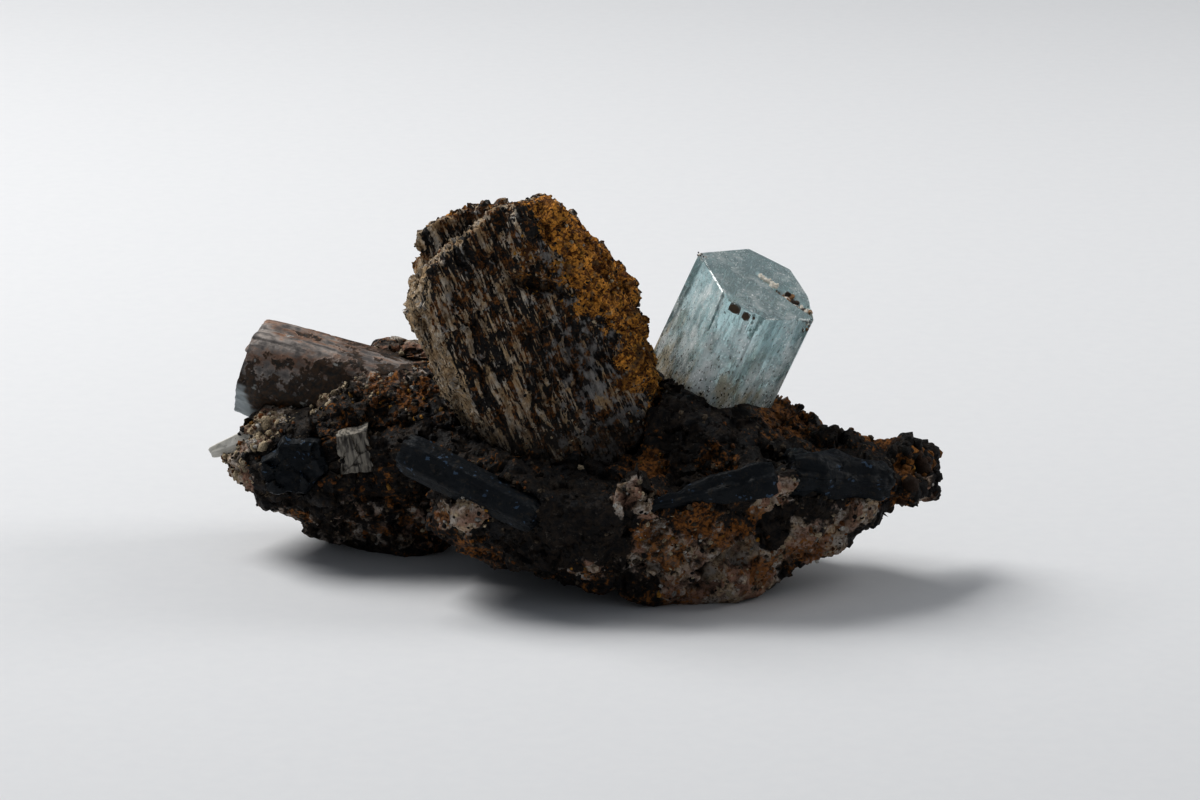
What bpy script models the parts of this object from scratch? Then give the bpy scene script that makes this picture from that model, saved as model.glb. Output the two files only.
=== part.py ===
"""Aquamarine crystal on its matrix: a hand specimen about 62 mm wide.

X runs to the right, Y away from the viewer, Z up. The rock rests on the flat worn sole at z = 0.
Lengths are in millimetres and are turned into metres as each shape is built.
"""

import math

import bmesh
import bpy
from mathutils import Matrix, Vector

MM = 0.001
GAP = 0.3 * MM

# The aquamarine: where the middle of its flat end is, which way it points, and the corners round its axis
AQUAMARINE_LENGTH = 14.0
AQUAMARINE_TOP = (15.2, 1.6, 25.3)
AQUAMARINE_AXIS = (0.377, -0.230, 0.897)
AQUAMARINE_CORNERS = (
    (-5.3, 2.3), (-2.9, -4.4), (0.5, -5.6), (5.2, -2.4), (4.8, 1.5), (3.3, 5.4), (-0.6, 6.5),
)

# The chipped groove across its flat end, in the same directions as its corners
CHIP_START = (0.2, 2.0)
CHIP_END = (5.6, -1.6)
CHIP_DEPTH = 0.7

# The other crystals: radius, flattening, sides, length, first end, direction, roll, taper, slant of the first
# end, and width of the worn edges
STAINED_BERYL = (4.7, 1.0, 6, 21.0, (-28.8, 13.6, 15.2), (0.964, -0.069, -0.258), 10.0, 1.0, -0.12, 0.25)
FRONT_TOURMALINE = (1.9, 1.0, 6, 12.8, (-14.6, -7.0, 13.1), (0.86, -0.34, -0.34), 0.0, 0.85, 0.0, 0.12)
LEFT_TOURMALINE = (3.4, 0.8, 6, 5.0, (-24.0, 6.6, 8.6), (-0.10, -0.96, 0.12), 20.0, 1.0, 0.0, 0.12)
LEFT_FELDSPAR = (2.1, 1.3, 4, 4.6, (-19.4, 6.0, 10.2), (0.05, -0.98, 0.1), 8.0, 1.0, 0.0, 0.12)
LEDGE_TOURMALINE = (1.7, 0.6, 6, 11.0, (16.4, -10.6, 11.9), (-0.93, -0.05, -0.21), 15.0, 0.35, 0.0, 0.12)
RIGHT_TOURMALINE = (2.5, 0.9, 6, 9.4, (17.5, -7.7, 11.6), (0.93, 0.33, -0.2), 0.0, 0.75, 0.0, 0.12)
TIP_BLADE = (1.2, 0.45, 6, 4.4, (-27.9, 8.6, 10.1), (-0.93, 0.02, -0.34), 15.0, 0.5, 0.0, 0.08)

# How the slab leans, and how much longer its splinters are than wide
SLAB_LEAN = (-12.0, -20.0, 12.0)
SLAB_STRETCH = 4.0

# How far a corner of an outline moves out for its faces to move out by one
CORNER_GROWTH = 1.2

# The cells that the skins are grown from, and the share of their faces that is kept
ROCK_CELL = 0.6
SLAB_CELL = 0.5
KEPT_SHARE = 0.16

# The front block: the keel it stands on, its overhanging front, and its back
FRONT_BLOCK = (
    (9.5, -8.4, -1), (13.5, -7.5, -0.2), (3, -9.5, 1.5), (-2.4, -9.7, 3.9), (-9, -8, 5.2), (-12.6, -5, 6.2),
    (-12.2, -7, 10.4), (-9.4, -10.3, 9.5), (-3, -12, 9.3), (6, -11.6, 9.2), (13, -11, 9.8),
    (14, 7, -1), (-2, 7, -1), (-8, 5, 2), (-11, 2, 13), (11, 6, 14),
)

# The shoulder on top of it, where the front tourmaline lies
FRONT_SHOULDER = (
    (-13, -5.5, 13), (-12.8, -7.8, 10.2), (-9, -10.2, 10.8), (-3, -12.2, 9.6), (1, -9.6, 10.4),
    (6, -8.6, 10.8), (6, -5, 11.6), (-9, -4.6, 13.8), (-12, -2, 15), (-11, 2, 12), (5, 2, 12),
)

# The right tongue: its rising underside, its front ledge, then its top and back
RIGHT_TONGUE = (
    (12, -7.5, -0.2), (15.2, -6.6, 0.7), (17.6, -6, 2.1), (22.5, -4, 4.5), (24.7, -3, 5), (26.5, -2, 6.2),
    (27.6, -1, 8), (26.6, -4.2, 10.2), (24, -7, 11.6), (15, -10, 11.4), (10, -10.8, 10),
    (8, 0, 15.4), (16.7, 5.6, 13.6), (23.3, 4.6, 12.2), (27, 3.4, 11), (14, 8, 0), (22, 6, 5), (8, 9, 4),
)

# The left wing: its pointed tip and rising underside, its sole, its bulging front, then its rim and back
LEFT_WING = (
    (-32.6, 8, 8.7), (-30.4, 8, 6.4), (-26.3, 8.5, 3.5), (-22.4, 9, 1.3),
    (-18.6, 8, -1), (-11.3, 7.4, -1), (-10, 14, -1), (-19, 14, -1), (-25, 15, 3.5),
    (-27.9, 3.6, 8.4), (-22, 2.3, 6.2), (-14, 3, 5.4), (-13, 2, 11), (-24, 2.8, 11.4), (-18, 2.4, 11.6),
    (-28.7, 8, 10.8), (-27.4, 9, 12), (-22.5, 8, 13.2), (-18.8, 8, 14.8), (-13.7, 8, 16.2), (-8, 8, 16.4),
    (-26, 16, 10), (-18, 18.5, 13), (-13, 18, 14.4), (-8, 15, 12),
)

# The saddle behind the slab that joins the wing to the tongue
SADDLE = (
    (-12, 4, 16), (-6, 7, 18.4), (3, 8, 18.4), (9, 6, 16), (7.2, -1.4, 17.4), (9, 0, 16.6), (12, 5, 15),
    (-11, -2, 13), (6.4, -3.6, 13), (-12, 12, 2), (10, 10, 3), (0, 13, 11), (-8, 13, 14), (17, 4.6, 13.4),
)

# The mound that the aquamarine's root sits in
CRYSTAL_FOOT = (
    (6.4, -2.4, 17), (8, -3.2, 15.9), (12, -3.4, 15.5), (16.4, -2, 15), (18.4, 2, 14.4), (17.6, 8, 14),
    (11, 10, 14.6), (6, 8, 16), (6, -5, 12), (12, -7.6, 12.4), (18.6, -5, 12), (20, 6, 10), (8, 11, 9),
)
ROCK_MASSES = (FRONT_BLOCK, FRONT_SHOULDER, RIGHT_TONGUE, LEFT_WING, SADDLE, CRYSTAL_FOOT)

# Rounded lumps as centre and half sizes: the dark lumpy right tip, two behind the stained beryl,
# the grains along the wing's rim, and the pale grains at both ends of the front ledge
TIP_LUMPS = (
    ((27.4, 1.8, 10.5), (2.2, 2.4, 1.5)), ((29.4, 1.2, 10.0), (1.6, 2.0, 1.4)),
    ((30.0, 0.2, 9.0), (1.4, 1.8, 1.1)), ((29.8, 0.4, 7.9), (1.5, 1.8, 1.0)),
    ((27.8, -1.0, 8.4), (2.0, 2.4, 1.7)), ((29.2, 3.2, 8.8), (1.6, 1.8, 1.4)),
)
BACK_LUMPS = (((-17.0, 16.6, 15.2), (1.9, 2.0, 1.4)), ((-14.4, 15.6, 15.0), (2.0, 2.2, 1.3)))
RIM_GRAINS = (
    ((-27.4, 8.8, 11.0), (1.4, 1.5, 1.2)), ((-24.8, 8.4, 11.6), (1.5, 1.6, 1.2)),
    ((-21.8, 8.2, 12.8), (1.6, 1.7, 1.1)), ((-18.6, 8.0, 14.2), (1.7, 1.8, 1.1)),
)
FRONT_GRAINS = (((4.4, -10.8, 10.2), (2.0, 1.6, 2.0)), ((-8.6, -9.6, 8.6), (2.2, 1.6, 1.8)))
ROCK_LUMPS = TIP_LUMPS + BACK_LUMPS + RIM_GRAINS + FRONT_GRAINS

# The slab: the outline of its streaked face, the outline set back behind it, and its stepped rear plate
SLAB_FACE = (
    (-6.8, -1.7, 32.5), (-3.2, -0.7, 33.2), (-1.5, -0.7, 32), (-0.5, -1, 29.4), (1, -1.3, 26.9),
    (2.9, -1.4, 24.3), (4.9, -1.8, 20.6), (6.4, -2.3, 16.7), (4.8, -3.4, 13.4), (2.4, -4.6, 10.6),
    (-1.5, -5.4, 10.6), (-5.7, -5.7, 12.9), (-7.7, -5.5, 15.9), (-9.4, -5.4, 18.2), (-10.9, -4.8, 22.3),
    (-12.2, -4.4, 25.5), (-12.3, -3.9, 28.1), (-9.4, -2.7, 30.5),
)
SLAB_BACK = (
    (-15, 0.4, 23.8), (-14.2, 0.8, 25.8), (-13, -0.4, 19.6), (-11.6, -0.6, 15.8), (-9, 0, 12.5),
    (-7, 1.6, 32), (-3.8, 3.3, 33.2), (-2.1, 3.6, 32.8), (-0.7, 3.6, 31.4), (0.7, 3.4, 29.3),
    (2.4, 3.4, 27.7), (4.7, 3.3, 25), (5.7, 2.8, 21.9), (6.2, 1.6, 19.1), (6.8, 0.6, 16), (4, 0, 12),
)
SLAB_REAR_PLATE = (
    (-13.6, 1.8, 27.6), (-13.2, 2.2, 29.8), (-11.9, 2.4, 30.8), (-9.2, 3, 31.7), (-7.6, 3.3, 32.2),
    (-4, 3.4, 32.2), (-13.6, 5.6, 25), (-12.6, 6.6, 28.6), (-9, 7.6, 30.6), (-4, 7.4, 31), (0, 6.8, 28),
    (3, 5.6, 23), (2, 5, 18), (-12, 4, 16), (-6, 5, 14), (-12.6, 0, 20), (0, 2, 16),
)
SLAB_MASSES = (SLAB_FACE + SLAB_BACK, SLAB_REAR_PLATE)


def empty_file():
    """Remove every object that the file opened with."""
    for obj in list(bpy.data.objects):
        bpy.data.objects.remove(obj, do_unlink=True)


def new_collection(name):
    """A collection of this name in the scene."""
    made = bpy.data.collections.new(name)
    bpy.context.scene.collection.children.link(made)
    return made


def material(name, colour, roughness, transmission=0.0):
    """A plain material of the piece's own colour."""
    made = bpy.data.materials.new(name)
    made.use_nodes = True
    shader = made.node_tree.nodes["Principled BSDF"]
    shader.inputs["Base Color"].default_value = (*colour, 1.0)
    shader.inputs["Roughness"].default_value = roughness
    shader.inputs["Metallic"].default_value = 0.0
    shader.inputs["Transmission Weight"].default_value = transmission
    return made


def place(name, bm, collection, finish=None):
    """Turn a bmesh into an object of this name."""
    bmesh.ops.recalc_face_normals(bm, faces=bm.faces[:])
    mesh = bpy.data.meshes.new(name)
    bm.to_mesh(mesh)
    bm.free()
    obj = bpy.data.objects.new(name, mesh)
    collection.objects.link(obj)
    if finish:
        mesh.materials.append(finish)
    return obj


def hide_cutter(obj):
    """Show a cutting shape as wires only, and keep it out of the model."""
    obj.hide_render = True
    obj.display_type = "WIRE"


def add_hull(bm, corners):
    """Add the convex body that these corners span."""
    made = [bm.verts.new(Vector(corner) * MM) for corner in corners]
    bmesh.ops.convex_hull(bm, input=made)
    buried = [vert for vert in made if not vert.link_faces]
    bmesh.ops.delete(bm, geom=buried, context="VERTS")


def add_lump(bm, centre, half_sizes):
    """Add a rounded lump with these half sizes."""
    middle = Matrix.Translation(Vector(centre) * MM)
    stretch = Matrix.Diagonal((*[half * MM for half in half_sizes], 1.0))
    bmesh.ops.create_icosphere(bm, subdivisions=2, radius=1.0, matrix=middle @ stretch)


def masses_mesh(masses, lumps=()):
    """Several overlapping masses in one bmesh."""
    bm = bmesh.new()
    for corners in masses:
        add_hull(bm, corners)
    for centre, half_sizes in lumps:
        add_lump(bm, centre, half_sizes)
    return bm


def fuse(obj, cell):
    """Grow overlapping masses into one skin with cells of this size."""
    step = obj.modifiers.new("fuse", "REMESH")
    step.mode = "VOXEL"
    step.voxel_size = cell * MM


def swell(obj, distance):
    """Push the whole skin outwards by a distance in metres."""
    step = obj.modifiers.new("swell", "DISPLACE")
    step.strength = distance
    step.mid_level = 0.0


def roughen(obj, name, kind, grain, height, guide=None):
    """Break the skin up with a pattern of this grain and height, in millimetres, along a guide if given."""
    pattern = bpy.data.textures.new(name, kind)
    pattern.noise_scale = grain * MM
    if kind == "VORONOI":
        pattern.distance_metric = "DISTANCE"
        pattern.noise_intensity = 1.0
    step = obj.modifiers.new(name, "DISPLACE")
    step.texture = pattern
    step.texture_coords = "OBJECT" if guide else "LOCAL"
    step.texture_coords_object = guide
    step.strength = height * MM
    step.mid_level = 0.5


def thin_out(obj, share):
    """Keep this share of the faces."""
    step = obj.modifiers.new("thin out", "DECIMATE")
    step.ratio = share
    step.use_collapse_triangulate = True


def cut(obj, cutter, solver="EXACT"):
    """Take the cutter's shape out of the object."""
    step = obj.modifiers.new("cut " + cutter.name, "BOOLEAN")
    step.operation = "DIFFERENCE"
    step.solver = solver
    step.object = cutter


def frame_along(axis, roll=0.0):
    """Axes with Z along the crystal and X kept to the right, rolled about Z in degrees."""
    up = Vector(axis).normalized()
    right = (Vector((1, 0, 0)) - up * up.x)
    if right.length < 0.35:
        right = Vector((0, 0, 1)) - up * up.z
    right.normalize()
    turn = Matrix((right, up.cross(right), up)).transposed().to_4x4()
    return turn @ Matrix.Rotation(math.radians(roll), 4, "Z")


def prism(outline, length, taper=1.0, slant=0.0, grow=0.0):
    """A straight crystal drawn up from z = 0, with this outline in millimetres, grown all round by a gap.

    The slant is how far the first end is cut askew, as rise over Y.
    """
    bm = bmesh.new()
    first = []
    for x, y in outline:
        corner = Vector((x, y, 0.0)) * MM
        corner += corner.normalized() * grow * CORNER_GROWTH
        first.append(bm.verts.new(corner))
    drawn = bmesh.ops.extrude_face_region(bm, geom=[bm.faces.new(first)])
    last = [part for part in drawn["geom"] if isinstance(part, bmesh.types.BMVert)]
    bmesh.ops.scale(bm, vec=(taper, taper, 1.0), verts=last)
    bmesh.ops.translate(bm, vec=(0, 0, length * MM + grow), verts=last)
    for vert in first:
        vert.co.z = slant * vert.co.y - grow
    return bm


def regular(radius, flatten, sides):
    """The outline of a regular prism, flattened in Y."""
    turns = [math.tau * (i + 0.5) / sides for i in range(sides)]
    return [(radius * math.cos(a), radius * flatten * math.sin(a)) for a in turns]


def crystal(name, outline, length, start, axis, roll, finish, taper=1.0, slant=0.0, edge=0.12):
    """Build a crystal from its first end, with the socket that the rock needs for it."""
    where = Matrix.Translation(Vector(start) * MM) @ frame_along(axis, roll)
    obj = place(name, prism(outline, length, taper, slant), parts, finish)
    obj.matrix_world = where
    bevel = obj.modifiers.new("worn edges", "BEVEL")
    bevel.width = edge * MM
    bevel.segments = 1
    bevel.limit_method = "ANGLE"
    socket = place(name + " socket", prism(outline, length, taper, slant, GAP), cutters)
    socket.matrix_world = where
    hide_cutter(socket)
    sockets.append(socket)
    return obj


def plain_crystal(name, sizes, finish):
    """A regular crystal from its row of sizes."""
    radius, flatten, sides, length, start, axis, roll, taper, slant, edge = sizes
    crystal(name, regular(radius, flatten, sides), length, start, axis, roll, finish, taper, slant, edge)


def box_cutter(name, low, high):
    """A box from its lowest to its highest corner, in millimetres."""
    bm = bmesh.new()
    low, high = Vector(low) * MM, Vector(high) * MM
    size = high - low
    middle = Matrix.Translation((low + high) / 2)
    bmesh.ops.create_cube(bm, size=1.0, matrix=middle @ Matrix.Diagonal((*size, 1.0)))
    made = place(name, bm, cutters)
    hide_cutter(made)
    return made


def build_aquamarine():
    """The clear seven-sided stub, with the chipped groove across its flat end."""
    axis = Vector(AQUAMARINE_AXIS).normalized()
    start = Vector(AQUAMARINE_TOP) - axis * AQUAMARINE_LENGTH
    stub = crystal("aquamarine_crystal", AQUAMARINE_CORNERS, AQUAMARINE_LENGTH, start, axis, 0.0,
                   aquamarine_finish)
    first, last = Vector(CHIP_START), Vector(CHIP_END)
    along = last - first
    bm = bmesh.new()
    bmesh.ops.create_cube(bm, size=1.0)
    chip = place("chip", bm, cutters)
    depth = CHIP_DEPTH * math.sqrt(2)
    middle = ((first + last) / 2).to_3d() + Vector((0, 0, AQUAMARINE_LENGTH))
    where = Matrix.Translation(middle * MM) @ Matrix.Rotation(math.atan2(along.y, along.x), 4, "Z")
    on_edge = Matrix.Rotation(math.radians(45), 4, "X")
    sizes = Matrix.Diagonal((along.length * MM, depth * MM, depth * MM, 1.0))
    chip.matrix_world = stub.matrix_world @ where @ on_edge @ sizes
    hide_cutter(chip)
    cut(stub, chip)


def build_other_crystals():
    """The stained beryl, the tourmalines, the feldspar block and the pale tip blade."""
    plain_crystal("stained_beryl_prism", STAINED_BERYL, stained_finish)
    plain_crystal("front_tourmaline_prism", FRONT_TOURMALINE, tourmaline_finish)
    plain_crystal("left_tourmaline", LEFT_TOURMALINE, tourmaline_finish)
    plain_crystal("left_feldspar_block", LEFT_FELDSPAR, feldspar_finish)
    plain_crystal("ledge_tourmaline", LEDGE_TOURMALINE, tourmaline_finish)
    plain_crystal("right_tourmaline", RIGHT_TOURMALINE, tourmaline_finish)
    plain_crystal("tip_blade_crystal", TIP_BLADE, tip_finish)


def build_slab():
    """The streaked slab, and the swollen copy of it that cuts its seat in the rock."""
    slab = place("standing_feldspar_slab", masses_mesh(SLAB_MASSES), parts, slab_finish)
    fuse(slab, SLAB_CELL)
    grain_guide = bpy.data.objects.new("slab grain guide", None)
    cutters.objects.link(grain_guide)
    grain_guide.rotation_euler = [math.radians(turn) for turn in SLAB_LEAN]
    grain_guide.scale = (1.0, 1.0, SLAB_STRETCH)
    roughen(slab, "slab splinters", "VORONOI", 1.9, 0.7, grain_guide)
    roughen(slab, "slab unevenness", "CLOUDS", 6.0, 0.7)
    thin_out(slab, KEPT_SHARE)
    seat = place("slab seat", masses_mesh(SLAB_MASSES), cutters)
    fuse(seat, ROCK_CELL)
    swell(seat, GAP * 3)
    thin_out(seat, KEPT_SHARE)
    hide_cutter(seat)
    sockets.append(seat)


def build_rock():
    """The grown mass of the matrix, with a seat for each crystal and the flat sole it rests on."""
    rock = place("matrix_rock", masses_mesh(ROCK_MASSES, ROCK_LUMPS), parts, rock_finish)
    fuse(rock, ROCK_CELL)
    roughen(rock, "broken blocks", "VORONOI", 5.0, 1.8)
    roughen(rock, "coarse grains", "VORONOI", 2.2, 0.6)
    roughen(rock, "unevenness", "CLOUDS", 7.0, 1.2)
    thin_out(rock, KEPT_SHARE)
    for socket in sockets:
        cut(rock, socket, "MANIFOLD")
    cut(rock, box_cutter("below the sole", (-60, -60, -20), (60, 60, 0)), "MANIFOLD")


empty_file()
parts = new_collection("aquamarine specimen")
cutters = new_collection("cutters")
sockets = []

rock_finish = material("weathered matrix", (0.16, 0.11, 0.08), 0.85)
slab_finish = material("streaked slab", (0.24, 0.17, 0.11), 0.8)
aquamarine_finish = material("aquamarine", (0.62, 0.78, 0.82), 0.08, 1.0)
stained_finish = material("stained beryl", (0.30, 0.24, 0.20), 0.5)
tourmaline_finish = material("black tourmaline", (0.02, 0.025, 0.035), 0.3)
feldspar_finish = material("pale feldspar", (0.45, 0.42, 0.38), 0.7)
tip_finish = material("pale blade", (0.62, 0.62, 0.58), 0.35)

build_aquamarine()
build_other_crystals()
build_slab()
build_rock()
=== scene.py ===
from itertools import product

import bmesh
import bpy
import numpy as np
from mathutils import Matrix, Vector


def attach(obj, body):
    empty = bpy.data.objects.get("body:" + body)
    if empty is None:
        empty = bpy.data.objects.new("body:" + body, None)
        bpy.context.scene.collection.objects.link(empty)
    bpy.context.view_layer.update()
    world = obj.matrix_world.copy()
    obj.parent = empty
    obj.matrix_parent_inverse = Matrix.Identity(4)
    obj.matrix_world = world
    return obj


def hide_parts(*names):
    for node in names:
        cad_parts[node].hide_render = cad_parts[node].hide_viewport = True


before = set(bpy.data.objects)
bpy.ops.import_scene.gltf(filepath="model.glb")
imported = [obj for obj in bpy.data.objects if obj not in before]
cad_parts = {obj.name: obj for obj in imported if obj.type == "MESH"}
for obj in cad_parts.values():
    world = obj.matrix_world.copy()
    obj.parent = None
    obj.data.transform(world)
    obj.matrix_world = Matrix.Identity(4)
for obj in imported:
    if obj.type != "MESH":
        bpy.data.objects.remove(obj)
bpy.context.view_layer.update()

mm = 0.001


# The aquamarine. A seven-sided beryl prism of pale blue, clear at its flat end and milky towards its root,
# with lengthwise growth lines, three growth steps and a chipped groove. It grew in the rock, which still
# holds its root.
aquamarine_corners = (
    (-5.3, 2.3), (-2.9, -4.4), (0.5, -5.6), (5.2, -2.4), (4.8, 1.5), (3.3, 5.4), (-0.6, 6.5),
)
aquamarine_top = np.array((15.2, 1.6, 25.3))
aquamarine_axis = (0.377, -0.230, 0.897)
aquamarine_length = 14.0
aquamarine_around = 260
aquamarine_rounding = 1
seats = []


def cell_random(cells, salt, count):
    """`count` random numbers from 0 to 1 for each whole-numbered cell, the same each time: its coordinates
    are multiplied by large odd numbers, folded together bit by bit, and stirred once more for each
    number."""
    low = np.uint64(0xFFFFFFFF)
    x, y, z = (cells[..., i].astype(np.int64).astype(np.uint64) for i in range(3))
    state = (x * 73856093) ^ (y * 19349663) ^ (z * 83492791) ^ np.uint64(salt * 40503)
    numbers = []
    for turn in range(count):
        state = (state ^ (state >> 16)) * 0x7FEB352D & low
        state = (state ^ (state >> 15)) * 0x846CA68B & low
        state = (state ^ (state >> 16)) & low
        numbers.append(state / 4294967296.0)
        state = state + 0x9E3779B9
    return np.stack(numbers, -1)


def drift(points, size, salt):
    """Soft noise from -1 to 1 that changes over `size`: random values at the eight corners of each point's
    cell, blended by a smooth step along each axis."""
    scaled = points / size
    base = np.floor(scaled)
    part = scaled - base
    part = part * part * (3 - 2 * part)
    total = 0.0
    for corner in product((0, 1), repeat=3):
        share = np.prod(np.where(corner, part, 1 - part), axis=-1)
        total = total + share * cell_random(base + corner, salt, 1)[..., 0]
    return total * 2 - 1


def crystal_axes(axis, roll):
    """Three directions as rows, with the last along the crystal and the first to its right, rolled in
    degrees."""
    up = np.array(axis) / np.linalg.norm(axis)
    right = np.array((1.0, 0.0, 0.0)) - up * up[0]
    if np.linalg.norm(right) < 0.35:
        right = np.array((0.0, 0.0, 1.0)) - up * up[2]
    right = right / np.linalg.norm(right)
    back = np.cross(up, right)
    turn = np.radians(roll)
    return np.array(
        (right * np.cos(turn) + back * np.sin(turn), back * np.cos(turn) - right * np.sin(turn), up))


def outline_of(corners, around, rounding):
    """Even steps along the polygon of these corners, with each corner rounded by averaging over `rounding`
    neighbours on either side."""
    corners = np.array(corners, float)
    sides = np.linalg.norm(np.roll(corners, -1, 0) - corners, axis=1)
    marks = np.concatenate(((0,), np.cumsum(sides)))
    steps = np.arange(around) / around * marks[-1]
    closed = np.vstack((corners, corners[:1]))
    line = np.stack([np.interp(steps, marks, closed[:, i]) for i in range(2)], -1)
    reach = range(-rounding, rounding + 1)
    return sum(np.roll(line, shift, 0) for shift in reach) / len(reach), steps


def linked(name, data):
    """A new object with this data, put in the scene."""
    obj = bpy.data.objects.new(name, data)
    bpy.context.scene.collection.objects.link(obj)
    return obj


def closed_skin(name, rings):
    """A closed surface from rings of points, one row each: quads between the rings, and a fan of triangles
    to one point at either end. The rings run round anticlockwise as seen from the last one."""
    rows, around = rings.shape[:2]
    points = np.vstack((rings[0].mean(0)[None], rings[1:-1].reshape(-1, 3), rings[-1].mean(0)[None]))
    here = 1 + np.arange(rows - 3)[:, None] * around + np.arange(around)
    after = np.roll(here, -1, 1)
    quads = np.stack((here, after, after + around, here + around), -1).reshape(-1, 4)
    first = 1 + np.arange(around)
    last = 1 + (rows - 3) * around + np.arange(around)
    foot = np.stack((np.roll(first, -1), first, np.zeros(around, int)), -1)
    head = np.stack((last, np.roll(last, -1), np.full(around, len(points) - 1)), -1)
    mesh = bpy.data.meshes.new(name)
    mesh.from_pydata((points * mm).tolist(), [], quads.tolist() + foot.tolist() + head.tolist())
    return linked(name, mesh)


def prism_rings(corners, length, around, rows, rounding, cap_rows, taper=1.0):
    """The rings of a prism in its own axes, in millimetres: the outline shrinks to a point on the first
    end, runs up the length and shrinks to a point again. Also gives each ring's share of the way in from
    the edge, and the distance along the outline."""
    outline, steps = outline_of(corners, around, rounding)
    middle = outline.mean(0)
    inward = np.concatenate((np.linspace(1, 0, cap_rows), np.zeros(rows), np.linspace(0, 1, cap_rows)))
    height = np.concatenate((np.zeros(cap_rows), np.linspace(0, length, rows), np.full(cap_rows, length)))
    narrow = 1 - (1 - taper) * height / length
    flat = middle + (outline[None] - middle) * ((1 - inward) * narrow)[:, None, None]
    rings = np.concatenate((flat, np.broadcast_to(height[:, None, None], flat.shape[:2] + (1,))), -1)
    return rings, inward, steps


class Finish:
    """A material put together node by node, with its patterns sized in millimetres of the piece itself."""

    def __init__(self, name):
        self.material = bpy.data.materials.new(name)
        self.material.use_nodes = True
        self.tree = self.material.node_tree
        self.shader = self.tree.nodes["Principled BSDF"]
        self.place = self.add("ShaderNodeTexCoord").outputs["Object"]

    def feed(self, socket, value):
        """Link a node's output to the socket, or set the socket to a plain value."""
        if isinstance(value, bpy.types.NodeSocket):
            self.tree.links.new(value, socket)
        else:
            socket.default_value = value

    def add(self, kind, feeds=(), **settings):
        """A new node with these settings, its inputs fed."""
        made = self.tree.nodes.new(kind)
        for key, value in settings.items():
            setattr(made, key, value)
        for key, value in dict(feeds).items():
            self.feed(made.inputs[key], value)
        return made

    def along(self, axes, sizes):
        """The place in a crystal's own axes, divided by a size for each axis."""
        turn = Matrix(axes.tolist()).transposed().to_euler()
        feeds = {"Vector": self.place, "Rotation": turn, "Scale": [size * mm for size in sizes]}
        return self.add("ShaderNodeMapping", feeds, vector_type="TEXTURE").outputs["Vector"]

    def noise(self, size, detail=3.0, where=None):
        """Soft noise of this size."""
        feeds = {"Vector": where or self.place, "Scale": 1 / (size * mm), "Detail": detail}
        return self.add("ShaderNodeTexNoise", feeds).outputs["Fac"]

    def grown(self, axes, sizes, detail=4.0):
        """Soft noise drawn out along a crystal's own axes, with a size for each of them."""
        feeds = {"Vector": self.along(axes, sizes), "Scale": 1.0, "Detail": detail}
        return self.add("ShaderNodeTexNoise", feeds).outputs["Fac"]

    def warped(self, size, reach):
        """The place pushed about by noise of this size, so that what is drawn there gets ragged edges."""
        push = self.add(
            "ShaderNodeTexNoise", {"Vector": self.place, "Scale": 1 / (size * mm), "Detail": 2.0})
        centred = self.add(
            "ShaderNodeVectorMath", {0: push.outputs["Color"], 1: (0.5, 0.5, 0.5)}, operation="SUBTRACT")
        scaled = self.add(
            "ShaderNodeVectorMath", {0: centred.outputs[0], "Scale": reach * mm}, operation="SCALE")
        return self.add("ShaderNodeVectorMath", {0: scaled.outputs[0], 1: self.place}).outputs[0]

    def facet(self, size, where=None):
        """Flat facets, one to each cell: the height, in sizes, of a plane through the cell's middle that is
        tilted its own way, and the cell's three random tones."""
        where = where or self.place
        cells = self.add("ShaderNodeTexVoronoi", {"Vector": where, "Scale": 1 / (size * mm)})
        away = self.add(
            "ShaderNodeVectorMath", {0: where, 1: cells.outputs["Position"]}, operation="SUBTRACT")
        tilt = self.add(
            "ShaderNodeVectorMath", {0: cells.outputs["Color"], 1: (0.5, 0.5, 0.5)}, operation="SUBTRACT")
        height = self.add(
            "ShaderNodeVectorMath", {0: away.outputs[0], 1: tilt.outputs[0]}, operation="DOT_PRODUCT")
        tones = self.add("ShaderNodeSeparateColor", {"Color": cells.outputs["Color"]}).outputs
        return self.sum((height.outputs["Value"], 1 / (size * mm))), tones

    def share(self, name):
        """The number that each point of the piece keeps under this name."""
        return self.add("ShaderNodeAttribute", attribute_name=name).outputs["Fac"]

    def colour(self, name):
        """The colour that each point of the piece keeps under this name."""
        return self.add("ShaderNodeAttribute", attribute_name=name).outputs["Color"]

    def sum(self, *terms, plus=0.0):
        """Each term times its weight, added up, plus a number."""
        total = plus
        for socket, weight in terms:
            step = self.add("ShaderNodeMath", operation="MULTIPLY_ADD")
            self.feed(step.inputs[0], socket)
            self.feed(step.inputs[1], weight)
            self.feed(step.inputs[2], total)
            total = step.outputs[0]
        return total

    def between(self, value, low, high, least=0.0, most=1.0):
        """Rises smoothly from `least` to `most` as the value goes from low to high."""
        feeds = {0: value, 1: low, 2: high, 3: least, 4: most}
        return self.add("ShaderNodeMapRange", feeds, interpolation_type="SMOOTHSTEP").outputs[0]

    def patches(self, low, high, *terms, most=1.0):
        """Where patches lie: each term's distance from one half, times its weight, is added up, and as the
        sum goes from low to high the result rises smoothly from 0 to `most`."""
        to_middle = -0.5 * sum(weight for _, weight in terms)
        return self.between(self.sum(*terms, plus=to_middle), low, high, 0.0, most)

    def mix(self, factor, first, second, way="MIX"):
        """The first colour, going over to the second by the factor."""
        made = self.add("ShaderNodeMix", data_type="RGBA", blend_type=way)
        self.feed(made.inputs[0], factor)
        for slot, colour in ((6, first), (7, second)):
            self.feed(
                made.inputs[slot], colour if isinstance(colour, bpy.types.NodeSocket) else (*colour, 1.0))
        return made.outputs[2]

    def cover(self, colour, here, most, top):
        """The colour, covered by the top one where `here` says, by at most this share."""
        return self.mix(self.sum((here, most)), colour, top)

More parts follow.
